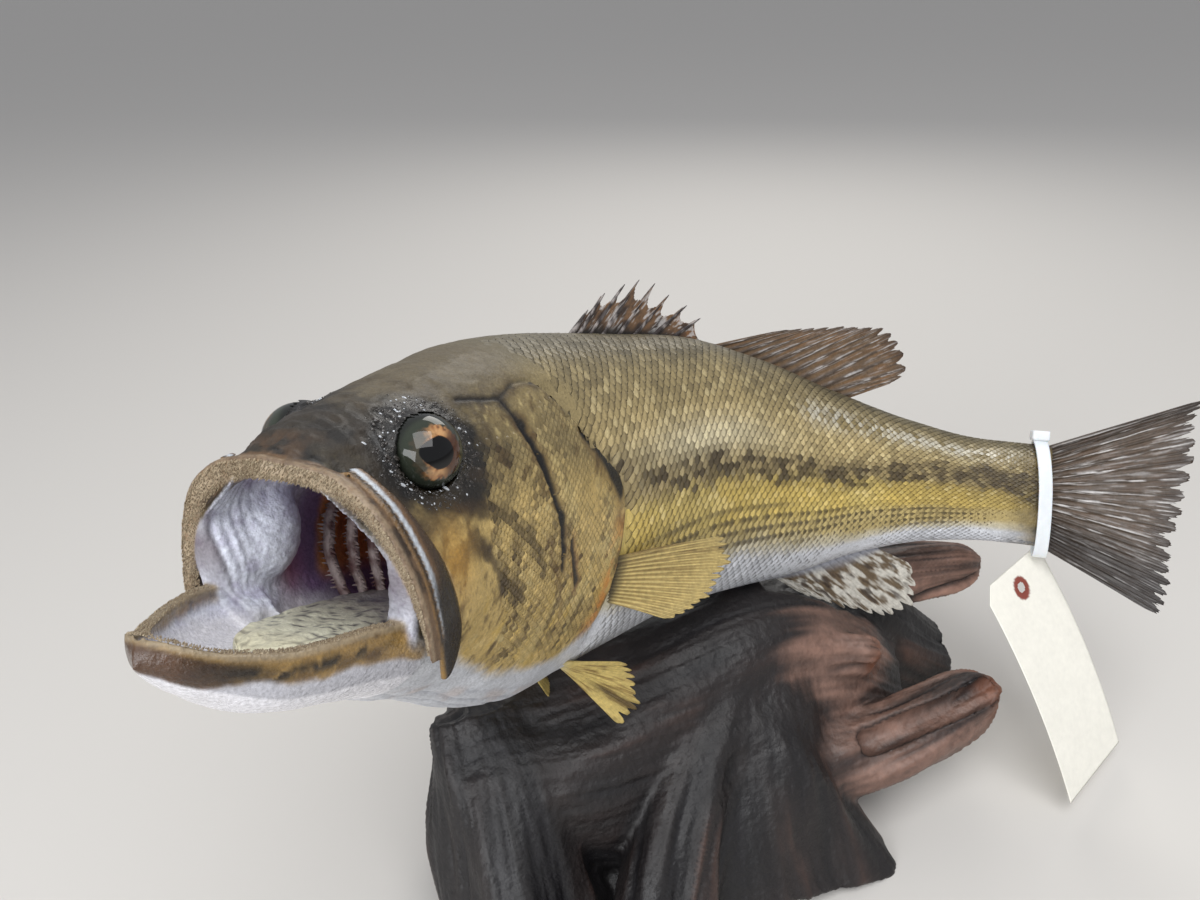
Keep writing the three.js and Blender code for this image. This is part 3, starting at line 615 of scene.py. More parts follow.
def segment_distance(s, a, path):
    """Rough distance in mm from stations s and degrees a to a polyline of (station, degrees)."""
    best = np.full(s.shape, 1e9)
    pts = [(station, degrees * HEAD_ARC) for station, degrees in path]
    y = a * HEAD_ARC
    for (x0, y0), (x1, y1) in zip(pts[:-1], pts[1:]):
        dx, dy = x1 - x0, y1 - y0
        t = np.clip(((s - x0) * dx + (y - y0) * dy) / (dx * dx + dy * dy), 0, 1)
        best = np.minimum(best, (s - x0 - t * dx) ** 2 + (y - y0 - t * dy) ** 2)
    return np.sqrt(best)


def stripe_strength(s, a, q):
    """How dark the stripe along the side is: clustered blotches, closing up toward the tail."""
    stripe_at = line([(160, 83), (200, 87), (240, 91), (280, 91), (340, 92), (372, 90), (416, 81), (449, 80),
                      (474, 84)], s)
    width = line([(160, 9), (230, 8), (340, 9), (400, 13), (440, 20), (474, 27)], s)
    stripe = np.clip(1.35 - np.abs(a - stripe_at + 3 * fbm(q * 0.5, 3)) / width, 0, 1)
    blotch = 0.62 + 0.55 * fbm(q * np.array([1.3, 2.2, 2.2]), 23) + 0.35 * noise(q * np.array([4, 4, 4]), 27)
    return np.clip(stripe * np.maximum(blotch, 0.45 * step(380, 450, s)) * 1.35, 0, 1)


def body_paint(p, a):
    """Colour of the body behind the head at fish points p and degrees a."""
    s = p[:, 0]
    q = p / 10
    broad = fbm(q * 0.5, 3)
    fine = fbm(q * np.array([1.6, 3, 3]), 11)
    top = step(18, 52, a + 6 * broad)
    c = blend(OLIVE_TOP, OLIVE, top)
    c = blend(c, TAN, 0.8 * step(48, 74, a + 5 * broad) * (1 - 0.5 * step(330, 420, s)))
    c = blend(c, GOLD, step(90, 98, a + 4 * fine))
    c = blend(c, "#c0a34c", 0.5 * step(-0.3, 0.4, broad) * step(92, 99, a) * (1 - step(108, 118, a)))
    c = blend(c, "#97803f", 0.6 * step(360, 420, s) * step(88, 94, a))
    # painted highlight: a pale sheen on the upper flank above the stripe, round the middle of the body
    c = blend(c, "#d2c8a9", 0.75 * bump(a, 77, 9) * bump(s, 232, 60))
    c = blend(c, "#a59468", 0.65 * step(109, 118, a + 3 * fine))
    c = blend(c, STRIPE, 0.55 * stripe_strength(s, a, q))
    low = line([(160, 124), (246, 125), (277, 124), (326, 128), (370, 136), (419, 134), (474, 134)], s)
    c = blend(c, PALE, 0.75 * step(-8, 2, a - low + 4 * fine))
    c = blend(c, BELLY, step(0, 10, a - low + 4 * broad))
    stem = step(448, 470, s + 7 * broad)
    c = blend(c, blend("#6e5f3c", "#2a2216", step(-0.25, 0.35, fbm(q * 2.2, 29))), 0.85 * stem)
    return c * (1 + 0.2 * fine[:, None] + 0.08 * broad[:, None])


def cover_paint(p, a):
    """Colour of the cheek and gill cover."""
    s, q = p[:, 0], p / 10
    broad = fbm(q * 0.8, 31)
    x, y, z = q.T
    streak = fbm(np.stack([x * 2.2 - z * 0.9, y * 0.5, z * 1.2 + x * 0.6], -1), 37)
    hair = fbm(np.stack([x * 7 - z * 3, y * 2, z * 3.4 + x * 1.6], -1), 39)
    c = blend("#7a6a45", CHEEK, step(62, 92, a + 8 * broad))
    c = blend(c, "#c2ae78", 0.8 * step(-0.1, 0.6, broad + 0.4 * streak) * step(84, 120, s))
    c = blend(c, "#4a3618", 0.75 * step(0.05, 0.55, streak + 0.3 * hair))
    c = blend(c, "#3c2c16", 0.6 * step(0.12, 0.5, hair) * step(-0.4, 0.3, streak))
    c = blend(c, "#c8b47c", 0.65 * step(0.1, 0.6, -hair) * step(-0.2, 0.4, broad))
    c = blend(c, "#c2a03c", 0.5 * step(0.0, 0.5, -streak) * step(104, 120, a) * (s > 60))
    return c


def head_paint(p, a):
    """Colour of the whole head's outside, with the cheeks' creases and the white throat."""
    s, left, z = p[:, 0], np.abs(p[:, 1]), p[:, 2]
    q = p / 10
    broad = fbm(q * 0.7, 41)
    fine = fbm(q * 2.5, 43)
    c = cover_paint(p, a)
    # the dark crown, snout and mask round the eye
    crown = 1 - step(30, 52, a + 8 * broad + np.clip(s - 60, 0, 60) * 0.12)
    c = blend(c, HEAD_TOP, crown)
    eye = np.sqrt((s - EYE[0]) ** 2 + ((left - EYE[1] - 8) * 0.6) ** 2 + (z - EYE[2]) ** 2)
    c = blend(c, "#1d1917", (1 - step(30, 46, s + 6 * broad + 3 * fine)) * (0.88 + 0.12 * fine))
    snout = (1 - step(20, 52, s)) * (1 - step(50, 70, a))
    c = blend(c, "#0f0d0c", 0.8 * step(0.0, 0.3, fbm(q * 1.7, 45)) * snout)
    c = blend(c, "#503a26", 0.6 * step(0.15, 0.5, fbm(q * 1.3, 47)) * (1 - step(10, 22, s)))
    mask = (1 - step(22, 40, eye + 7 * fine + 4 * broad)) * (1 - step(95, 118, a))
    c = blend(c, "#33281a", 0.62 * mask * step(-0.4, 0.3, fbm(q * 1.6, 49)))
    c = blend(c, HEAD_DARK, 0.97 * (1 - step(17, 24, eye + 3.0 * fine + 2.5 * broad)))
    # streaks and the ear spot; along the creases and cracks, brown bands of their own colour and near-black
    # painted shade down their middles
    for path, wide, strength, tone in (
            ([(50, 80), (63, 84), (73, 88), (82, 92), (90, 97), (96, 104)], 3.0, 0.75, "#2c1f11"),
            ([(52, 90), (57, 93), (71, 105), (84, 111)], 3.0, 0.78, "#2b1e10"),
            (GROOVE, 5.5, 0.6, "#5a421f"), (EAR, 7, 0.5, "#5a421f"), (COVER_CRACK, 3.5, 0.6, "#3d2f1b"),
            (NAPE_CRACK, 3.0, 0.6, "#2b241a"), (GROOVE_LOW, 4.5, 0.6, "#6a401c"),
            ([(60, 70), (70, 72), (80, 80)], 2.6, 0.4, "#3a2c1c"),
            ([(66, 96), (78, 108), (84, 122)], 2.4, 0.35, "#4a3820"),
            # painted shade: near-black down the middle of each crease and crack
            (GROOVE, 2.5, 1, "#0a0808"), (GROOVE_LOW, 2.0, 0.95, "#120d09"),
            (NAPE_CRACK, 1.1, 0.9, "#15110e"), (COVER_CRACK, 1.0, 0.85, "#1a150f"), (EAR, 3.4, 1, "#0d0c0b"),
            ([(98, 96), (107, 106), (118, 118)], 2.2, 0.45, "#5a3c1c")):
        soft = 1.0 if strength > 0.8 else 2.4
        d = segment_distance(s, a, path)
        c = blend(c, tone, strength * (1 - step(wide * 0.35, wide, d + 0.8 * soft * fine)))
    # orange lower edge and white membranes
    edge = cover_edge(a)
    c = blend(c, ORANGE, 0.8 * step(88, 108, a) * bump(edge - s, 5, 7) * step(-0.4, 0.4, broad + fine))
    c = blend(c, "#b98a3a", 0.6 * bump(s, 44, 8) * bump(a, 96, 12))
    under = line([(20, 122), (53, 128), (62, 136), (85, 140), (110, 140), (130, 137), (150, 133),
                  (162, 128)], s)
    c = blend(c, WHITE, step(-5, 3, a - under + 3 * broad + 2 * fine))
    return c * (1 + 0.18 * fine[:, None])


def jaw_rim_at(s):
    """Half width and height of the lower jaw's rim at a station."""
    t = np.interp(s, [k[1] for k in LOWER_RIM], [k[0] for k in LOWER_RIM])
    return curve(LOWER_RIM, t, 2), curve(LOWER_RIM, t, 3)


def jaw_paint(p):
    """The lower jaw: toothed rim, gold band with a black streak, dark chin, white below."""
    s, left, z = p[:, 0], np.abs(p[:, 1]), p[:, 2]
    q = p / 10
    fine, broad = fbm(q * 3, 51), fbm(q * 0.9, 53)
    wide, top = jaw_rim_at(s)
    below = top - z
    c = blend("#8f7f66", "#937645", step(1.0, 2.4, below + 0.6 * fine))
    c = blend(c, "#5d4426", 0.6 * step(0.0, 0.5, fbm(q * np.array([1.2, 2, 3]), 55)) * step(1, 2.5, below))
    patch = fbm(np.stack([s / 4, z / 7, 0 * s], -1), 57)
    streak = bump(below, 5.2 + 1.6 * broad - 0.03 * s, 2.2) * step(-0.12, 0.12, patch + 0.25 * fine)
    c = blend(c, "#0d0907", 0.97 * streak * (1 - step(14, 26, s)))
    c = blend(c, "#31200f", 0.7 * step(0.0, 0.3, -patch + 0.3 * fine) * bump(below, 6.5, 2.6))
    c = blend(c, "#2a1a0f", 0.7 * bump(below, 2.0, 0.8) * step(-0.2, 0.4, fine) * step(6, 14, s))
    c = blend(c, "#2e1a0e", 0.92 * (1 - step(-20, -9, s + 3 * broad)) * step(1.2, 3.0, below))
    c = blend(c, "#4d3320", 0.75 * (1 - step(-25, -20, s + 2 * broad)) * step(1.2, 3.0, below))
    c = blend(c, "#7d4f22", 0.7 * (1 - step(-20, -8, s)) * step(8, 11, below) * step(-0.3, 0.3, fine))
    c = blend(c, "#0e0a08", 0.95 * bump(s, -13.5, 6) * bump(below, 4.6, 2.6))
    white = step(8.0, 10.2, below + 1.5 * broad + 0.8 * fine - 0.08 * s + 0.8 - 5.0 * (1 - step(-24, -12, s)))
    c = blend(c, "#b0b0b7", white)
    c = c * (1 + 0.2 * fine[:, None] * (1 - 0.6 * white[:, None]))
    front = np.interp(left, [k[2] for k in LOWER_RIM], [k[1] for k in LOWER_RIM])
    trough = (1 - step(-1.2, 0.2, left - (wide - np.minimum(LIP, wide * 0.45)))) * step(0.2, 1.2, below)
    trough = trough * step(1.5, 3.5, s - front)
    return blend(c, mouth_paint(p), trough)


def arch_paint(p):
    """The toothed band: greyish tan, browner along its outer lip and in patches on the snout."""
    q = p / 10
    fine, broad = fbm(q * 4, 61), fbm(q * 1.1, 63)
    rim = curve3(UPPER_RIM, np.linspace(0, 0.93, 90))
    x = folded(p)
    d, _ = nearest(rim, x)
    c = blend("#a8967c", "#7a6044", step(-0.1, 0.8, fine))
    c = blend(c, "#4a2f1b", 0.8 * (1 - step(0.6, 2.2, d + 0.8 * fine)))
    behind = step(1.2, 3.0, x[:, 0] - np.interp(x[:, 2], rim[::-1, 2], rim[::-1, 0]))
    c = blend(c, "#5a3f26", 0.85 * behind)
    c = blend(c, "#181110", 0.8 * behind * step(0.0, 0.35, broad + 0.4 * fine))
    return c


def blade_paint(p):
    """Maxilla: gold rim, glossy bluish strip, brown middle, dark paddle with gold edges."""
    t = np.linspace(0.3, 1.0, 160)
    a, b = maxilla_rails(t)
    wide = maxilla_width(t)
    x = folded(p)
    best = np.full(len(p), 1e9)
    along, across = np.zeros(len(p)), np.zeros(len(p))
    for k in range(len(t)):
        e = b[k] - a[k]
        f = np.clip((x - a[k]) @ e / (e @ e), -0.3, 1.3)
        d = ((x - a[k] - f[:, None] * e) ** 2).sum(-1)
        hit = d < best
        best[hit], along[hit], across[hit] = d[hit], t[k], f[hit] * wide[k]
    fine = fbm(p / 10 * np.array([1.5, 3, 1.5]), 71)
    c = blend("#8a6a40", "#1c1512", bump(across, 0.7, 0.55))
    c = blend(c, "#b9bfc6", step(1.1, 1.5, across + 0.2 * fine) * (1 - step(0.8, 0.92, along)))
    c = blend(c, "#6b5138", step(2.4, 3.2, across + 0.6 * fine))
    c = blend(c, "#2d2118", 0.8 * step(3.6, 5.4, across + fine))
    dark = step(0.6, 0.78, along + 0.03 * fine)
    rim = np.maximum(1 - step(0.2, 1.3, across), step(-1.6, -0.4, across - np.interp(along, t, wide)))
    paddle = blend("#17110d", "#8d6c36", 0.8 * rim)
    c = blend(c, paddle, dark * step(1.0, 2.2, across + 3 * step(0.86, 0.95, along)))
    return c * (1 + 0.2 * fine[:, None])


def mouth_paint(p):
    """Lining of the mouth: bluish white cheeks and floor, purple roof and throat, warm light at the gills."""
    s, left, z = p[:, 0], p[:, 1], p[:, 2]
    q = p / 10
    broad, fine = fbm(q * 0.8, 81), fbm(q * 2.4, 83)
    veins = bump(noise(q * np.array([2.6, 3.2, 2.6]), 85), 0, 0.07)
    c = blend("#e2e6f2", "#aaa6bd", step(-0.1, 0.6, fine + 0.3 * broad) * 0.6)
    c = blend(c, "#8a819c", 0.35 * veins)
    roof = step(-4, 5, z + 2 * broad) * step(16, 30, s)
    deep = step(46, 60, s + 5 * broad + 0.5 * np.minimum(z + 36, 0))
    c = blend(c, "#80688c", np.clip(0.85 * roof + deep, 0, 1))
    c = blend(c, "#dcdbe0", step(-34, -40, z + 2 * fine) * (1 - step(56, 78, s)))
    c = blend(c, "#a5486a", 0.7 * bump(s, 52, 6) * bump(z, -28, 8) * step(0, 10, np.abs(left)))
    lit = step(64, 69, s + 2 * broad) * step(15, 19, np.abs(left)) * step(-36, -28, z)
    c = blend(c, "#e0964a", 0.9 * lit)
    return c * (1 + 0.12 * fine[:, None])


def throat_paint(p, a):
    """White gill membranes with grey painted shade in the creases between the rays that spread them."""
    q = p / 10
    crease = 1 - throat_rays(q, a)
    # painted shade: grey in the creases between the rays
    c = blend(WHITE, "#8f929c", 0.75 * crease**1.5 * step(-0.5, 0.4, fbm(q * 1.3, 152)))
    return blend(c, "#b39a8a", 0.35 * step(0.1, 0.6, fbm(q * 0.9, 154)))


def on_jaw(s, facts):
    return (1 - step(0.2, 1.4, facts["jaw"])) * (1 - step(33, 37, s))


def skin_paint(p, a, facts):
    """Colour of the whole skin, its regions joined along the distance fields they were built from."""
    s = p[:, 0]
    head = head_paint(p, a)
    edge = cover_edge(a)
    behind = np.where(a < 40, step(88, 112, s), step(-0.2, 0.5, s - edge))
    c = blend(head, body_paint(p, a), behind)
    # painted shadow: a dark line just behind the gill cover's free edge, where the flap overhangs the body
    c = blend(c, "#1a1610", 0.75 * bump(s - edge, 0.6, 1.4) * step(40, 50, a) * (1 - step(124, 132, a)))
    # the white skin uncovered behind the maxilla
    z = p[:, 2]
    flap = (1 - step(2.0, 4.0, facts["blade"])) * bump(z, -9, 11) * step(0.5, 2, facts["mouth"]) * (s < 60)
    c = blend(c, "#b9bcbd", np.clip(1.3 * flap, 0, 0.95) * (np.abs(p[:, 1]) > 20))
    lips = lips_plane(s, z)
    inner = np.maximum(1 - step(0.3, 1.2, facts["mouth"]), step(-2.2, -0.9, lips) * (1 - step(-14, -8, z)))
    throat = step(146, 152, a) * step(12, 30, s) * (1 - step(118, 150, s))
    c = blend(c, throat_paint(p, a), throat * (facts["mouth"] > 1))
    c = blend(c, mouth_paint(p), inner * step(2, 6, s + (z + 20) * 0.1) * (s < 125))
    # painted shade on the inner face of the lips, between the upper jaw and the mouth's corner
    shade = step(-3.2, -1.6, lips) * bump(z, -18, 13) * (s > 8)
    c = blend(c, "#4c3a3e", 0.8 * shade * inner)
    c = blend(c, jaw_paint(p), on_jaw(s, facts))
    c = blend(c, arch_paint(p), 1 - step(0.1, 0.8, facts["arch"]))
    c = blend(c, blade_paint(p), 1 - step(0.1, 0.7, facts["blade"]))
    return c


def skin_finish(p, a, facts):
    """Roughness: dry on the crown and lining, glossy round the eye, on the jaw and along the stem's back."""
    s = p[:, 0]
    q = p / 10
    patch = fbm(q * 0.7, 161)
    r = 0.42 + 0.1 * patch
    r = r + 0.24 * (1 - step(40, 60, a)) * (1 - step(110, 170, s))
    r = r - 0.3 * (1 - step(4, 12, eye_distance(p)))
    r = np.where(facts["blade"] < 0.5, 0.3, r)
    r = r + (0.26 - r) * on_jaw(s, facts)
    r = r + (0.62 - r) * (1 - step(0.3, 1.2, facts["mouth"]))
    r = r + (0.5 - r) * (1 - step(0.1, 0.8, facts["arch"]))
    r = r - 0.22 * bump(a, 50, 12) * step(318, 350, s + 18 * patch)
    return np.clip(r, 0.1, 0.8)


# ------------------------------------------------------------------ scales
ANGLES = np.radians(np.linspace(0, 180, 181))


def arc_table():
    """Half the girth from back to belly at whole stations, for laying rows of scales."""
    s = np.arange(40, 481.0, 2)
    p = outline(s[:, None], ANGLES[None, :])
    d = np.sqrt((np.diff(p, axis=1) ** 2).sum(-1))
    return s, np.concatenate([np.zeros((len(s), 1)), np.cumsum(d, 1)], 1)


def lay_scales(side, spots, pitch, half, lift, rows=5, columns=5, relief=None):
    """Shingle scales, joined: spots are (station, degrees, size factor) of each scale's middle."""
    rng = np.random.default_rng(5 if side > 0 else 6)
    n = len(spots)
    s0, a0, k = spots.T

    def each(x):
        return x[:, None, None]

    a = np.linspace(0, 1, rows)
    b = np.linspace(-1, 1, columns)
    A, B = np.meshgrid(a, b, indexing="ij")
    back = A * (1 - 0.34 * B**2 * A) - 0.5
    wide = B * (0.92 + 0.08 * np.sin(np.pi * A)) * np.where(A > 0.7, 1 - 0.35 * ((A - 0.7) / 0.3) ** 2, 1)
    turn = each(rng.normal(0, 0.05, n))
    ds = each(k * pitch * 1.75) * (back + turn * wide * 0.5)
    dm = each(k * half) * (wide - turn * back)
    rise = each(lift) if np.ndim(lift) else lift
    height = -0.14 + rise * (A**0.8) * (1 - 0.22 * B**2) * each(rng.uniform(0.85, 1.12, n))
    s = each(s0) + ds
    degrees = each(a0) + dm / each(local_arc(s0, a0))
    skin_depth = sunk(s, np.clip(degrees, 0, 180))
    depth = skin_depth - height
    if relief is not None:
        depth = depth - relief(outline(s, np.radians(degrees)), degrees)
    p = outline(s, np.radians(degrees) * side, depth)
    skirt_depth = np.minimum(depth + 0.55, skin_depth + 0.5)
    q = outline(s, np.radians(degrees) * side, skirt_depth)
    m = rows * columns
    rim = np.concatenate([np.arange(rows) * columns, (rows - 1) * columns + np.arange(1, columns),
                          np.arange(rows - 2, -1, -1) * columns + columns - 1])
    co = np.concatenate([p.reshape(n, m, 3), q.reshape(n, m, 3)[:, rim]], 1)
    per = m + len(rim)
    face = grid_faces(rows, columns)
    edge = np.stack([rim[:-1], rim[1:], m + np.arange(1, len(rim)), m + np.arange(len(rim) - 1)], 1)
    face = np.concatenate([face, edge])
    if side < 0:
        face = face[:, ::-1]
    faces = (face[None] + (np.arange(n) * per)[:, None, None]).reshape(-1, 4)
    take = np.concatenate([np.arange(m), rim])

    def flat(x):
        return np.broadcast_to(x, (n, rows, columns)).reshape(n, m)[:, take].ravel()

    own = {"s0": s0, "a0": a0, "tone": rng.normal(0, 1, n)}
    facts = {name: np.repeat(value, per) for name, value in own.items()}
    return co.reshape(-1, 3), faces, {"a": flat(A), "b": flat(B), **facts}


def girth_at(s):
    """Arc from the back's line to each whole degree, at one station."""
    return np.array([np.interp(s, GIRTH_S, GIRTH[:, k]) for k in range(181)])


def cheek_spots():
    """Small scales of the cheek and gill cover, clear of the eye, the mouth and the creases."""
    spots = []
    for column, s in enumerate(np.arange(58, 158, CHEEK_PITCH)):
        girth = girth_at(s)
        arc = np.arange(0, girth[-1], 3.3) + (1.65 if column % 2 else 0)
        deg = np.interp(arc, girth, np.arange(181))
        spots += [(s, d, 1.0) for d in deg]
    spots = np.array(spots)
    s, d = spots[:, 0], spots[:, 1]
    p = outline(s, np.radians(d))
    keep = (s < cover_edge(d) - 2.4) & (d > 50) & (d < 134) & (eye_distance(p) > 7.5)
    keep &= (s > 62 + 0.5 * np.maximum(0, d - 92)) & ((d > 60) | (s > 100))
    for path, far in ((GROOVE, 2.2), (GROOVE_LOW, 1.8), (COVER_CRACK, 2.2), (EAR, 4.0)):
        keep &= segment_distance(s, d, path) > far
    return spots[keep]


GIRTH_S, GIRTH = arc_table()
ROWS = 27              # of scales between the back's line and the belly's
PITCH = 2.55           # millimetres from one column of full-size scales to the next
CHEEK_PITCH = 1.75
FIRST_SCALES = 92.0


def local_arc(s, degrees):
    """Millimetres of girth per degree near a station and angle."""
    i = np.clip(((s - 40) / 2).astype(int), 0, len(GIRTH_S) - 1)
    j = np.clip(degrees.astype(int), 1, 178)
    return np.maximum((GIRTH[i, j + 2] - GIRTH[i, j - 1]) / 3, 0.05)


def body_spots():
    """Columns of scales from nape to tail, alternate columns half a row apart."""
    spots = []
    s = FIRST_SCALES
    column = 0
    while s < STEM_END - 3:
        size = float(line([(90, 0.85), (150, 1.0), (260, 1.0), (360, 0.86), (474, 0.66)], s))
        v = (np.arange(ROWS) + (0.5 if column % 2 else 0.0)) / ROWS
        girth = girth_at(s)
        deg = np.interp(v * girth[-1], girth, np.arange(181))
        edge = np.where(deg < 42, 96 + deg * 0.35, cover_edge(deg) + 1.0)
        keep = s - 2.6 * size > edge
        keep &= (deg > 1.2) & (deg < 176)
        spots += [(s, d, size) for d in deg[keep]]
        s += PITCH * size
        column += 1
    return np.array(spots)


def row_height(s):
    return np.interp(s, GIRTH_S, GIRTH[:, -1]) / ROWS


def arc_at(s, degrees):
    """Millimetres of girth from the back's line to an angle, at stations."""
    i = np.clip((s - GIRTH_S[0]) / (GIRTH_S[1] - GIRTH_S[0]), 0, len(GIRTH_S) - 1.001)
    j = np.clip(degrees, 0, 179.999)
    i0, j0 = i.astype(int), j.astype(int)
    u, v = i - i0, j - j0
    here = GIRTH[i0, j0] * (1 - v) + GIRTH[i0, j0 + 1] * v
    there = GIRTH[i0 + 1, j0] * (1 - v) + GIRTH[i0 + 1, j0 + 1] * v
    return here * (1 - u) + there * u


def scale_paint(f):
    """Body colours with each scale's own darker pocket and worn edge, and the dashed rows low on the side;
    painted glints on the upper flank's scales and a painted highlight band along the upper side of the rear
    body.
    """
    s, deg = f["s0"], f["a0"]
    at = outline(s, np.radians(deg))
    q = at / 10
    c = body_paint(at, deg)
    c = c * (1 + (0.12 + 0.03 * (deg < 90)) * np.clip(f["tone"], -2, 2))[:, None]
    upper = 1 - step(96, 108, deg)
    edge = step(0.78, 1.0, f["a"] + 0.2 * f["b"] ** 2)
    pocket = 1 - step(0.1, 0.5, f["a"])
    c = blend(c, "#3f341c", (0.28 * edge + 0.42 * pocket) * step(6, 40, deg) * (0.35 + 0.65 * upper))
    c = blend(c, "#6a5424", (0.6 * pocket + 0.25 * edge) * (1 - upper) * (1 - 0.6 * step(118, 132, deg)))
    # painted glints: a pale fleck on many scales of the upper flank
    scale_glint = step(0.3, 1.6, f["tone"]) * bump(f["a"], 0.62, 0.2) * bump(f["b"], 0.1, 0.6)
    c = blend(c, "#ddd0a4", 0.5 * scale_glint * step(30, 55, deg) * (1 - step(100, 112, deg)))
    # painted highlight: a pale band of varnish reflection along the upper side of the rear body and tail stem
    band = bump(deg, line([(319, 55), (388, 51), (448, 49)], s), 9)
    band = band * step(306, 326, s) * (1 - step(450, 466, s))
    c = blend(c, "#d9d9d2", 0.6 * band * step(-1.2, 0.4, f["tone"]) * bump(f["a"], 0.65, 0.3))
    strength = stripe_strength(s, deg, q)
    mark = step(0.4, 0.92, strength + 0.14 * f["tone"] + 0.25 * (pocket - 0.4) - 0.12 * np.abs(f["b"]))
    c = blend(c, "#33281a", 0.84 * mark)
    low = line([(160, 106), (234, 107), (300, 107), (390, 114), (430, 116)], s)
    rows = step(-3, 1, deg - low) * (1 - step(16, 22, deg - low)) * step(172, 215, s)
    row = arc_at(s, deg) / arc_at(s, np.full(len(s), 180.0)) * ROWS
    lane = bump(row - np.round(row), 0, 0.22)
    dash = bump(f["a"], 0.72, 0.36) * bump(f["b"], 0, 0.8) * lane * step(-1.6, -0.8, f["tone"])
    c = blend(c, "#2c2213", 0.92 * rows * dash)
    worn = step(0.7, 1.0, f["a"]) + 0.6 * pocket
    return blend(c, "#8d8f98", 0.45 * worn * step(126, 140, deg))


def add_coat(name, material, slot, co, faces, f, tones, finish, start, length):
    """One mesh of scales, each on its own spot of the coat's UV map."""
    ob = add_mesh(name, place(co), faces)
    paint(ob, tones)
    number(ob, "finish", finish)
    u = (f["s0"] - start) / length + (f["a"] - 0.5) * 0.003
    uv_map(ob, np.stack([u, f["a0"] / 182 + 0.005 + f["b"] * 0.0015], -1))
    settle(ob, material, slot)


def add_scales(material):
    """Six meshes: body scales ahead of and behind the dorsal notch and cheek scales, on each side."""
    spots = body_spots()
    heights = row_height(spots[:, 0])
    for side, label in SIDES:
        for part, lo, hi in (("front", 0, 262), ("rear", 262, 500)):
            pick = (spots[:, 0] >= lo) & (spots[:, 0] < hi)
            own = spots[pick]
            fade = (1 - 0.5 * step(120, 160, own[:, 1])) * (0.2 + 0.8 * step(94, 138, own[:, 0]))
            half = heights[pick] / own[:, 2] * 0.66
            co, faces, f = lay_scales(side, own, PITCH * 2, half, 0.55 * own[:, 2] * fade)
            finish = 0.5 - 0.08 * np.clip(f["tone"], -1.5, 1.5)
            finish = finish - 0.34 * bump(f["a0"], 48, 16) * step(300, 335, f["s0"])
            add_coat(f"scales_{label}_{part}", material, "body_skin", co, faces, f, scale_paint(f), finish,
                     90, 390)
        co, faces, f = lay_scales(side, cheek_spots(), CHEEK_PITCH * 1.25, 1.75, 0.36, rows=4, columns=4,
                                  relief=cheek_relief)
        deg = f["a0"]
        c = head_paint(outline(f["s0"], np.radians(deg)), deg) * (1 + 0.17 * f["tone"][:, None])
        # painted highlight along each cheek scale's rear edge
        c = blend(c, "#cdb984", 0.28 * bump(f["a"], 0.85, 0.25) * step(0.04, 0.25, c[:, 0]))
        c = blend(c, "#3d2e17", 0.38 * (1 - step(0.0, 0.45, f["a"])))
        add_coat(f"scales_{label}_cheek", material, "cheek_skin", co, faces, f, c, 0.42, 0, 200)


# ------------------------------------------------------------------ materials
def material(name, bump_size=0.0, bump_scale=400, rough=0.35, coat=0.0, coat_rough=0.05, vary=0.12,
             vary_scale=220, rough_vary=0.1, subsurface=0.0, finish=False):
    """Painted material: the vertex paint broken up by fine noise, with bump and an optional varnish coat."""
    m = bpy.data.materials.new(name)
    m.use_nodes = True
    nodes, links = m.node_tree.nodes, m.node_tree.links
    bsdf = nodes["Principled BSDF"]
    for socket, value in (("Coat Weight", coat), ("Coat Roughness", coat_rough), ("IOR", 1.5),
                          ("Roughness", rough), ("Subsurface Weight", subsurface),
                          ("Subsurface Radius", (0.004, 0.0025, 0.0015)), ("Subsurface Scale", 1.0)):
        bsdf.inputs[socket].default_value = value

    def node(kind, **values):
        """A node with its inputs set or linked; From_Min stands for "From Min"."""
        n = nodes.new("ShaderNode" + kind)
        for label, value in values.items():
            socket = n.inputs[label.replace("_", " ")]
            if isinstance(value, bpy.types.NodeSocket):
                links.new(value, socket)
            else:
                socket.default_value = value
        return n

    coord = node("TexCoord").outputs["Object"]

    def noise_fac(scale, detail=4):
        return node("TexNoise", Vector=coord, Scale=scale, Detail=detail).outputs["Fac"]

    def ranged(value, low, high):
        n = node("MapRange", Value=value, From_Min=0.3, From_Max=0.7, To_Min=low, To_Max=high)
        return n.outputs["Result"]

    painted = node("Attribute")
    painted.attribute_name = "paint"
    scale = nodes.new("ShaderNodeVectorMath")
    scale.operation = "SCALE"
    links.new(painted.outputs["Color"], scale.inputs[0])
    links.new(ranged(noise_fac(vary_scale), 1 - vary, 1 + vary), scale.inputs["Scale"])
    links.new(scale.outputs["Vector"], bsdf.inputs["Base Color"])
    if finish:
        own = node("Attribute")
        own.attribute_name = "finish"
        add = nodes.new("ShaderNodeMath")
        add.operation = "ADD"
        add.use_clamp = True
        links.new(own.outputs["Fac"], add.inputs[0])
        links.new(ranged(noise_fac(vary_scale * 0.4), -rough_vary, rough_vary), add.inputs[1])
        links.new(add.outputs["Value"], bsdf.inputs["Roughness"])
    elif rough_vary:
        uneven = ranged(noise_fac(vary_scale * 0.4), max(0.02, rough - rough_vary), rough + rough_vary)
        links.new(uneven, bsdf.inputs["Roughness"])
    if bump_size:
        b = node("Bump", Strength=1.0, Distance=bump_size, Height=noise_fac(bump_scale, 5))
        links.new(b.outputs["Normal"], bsdf.inputs["Normal"])
    return m


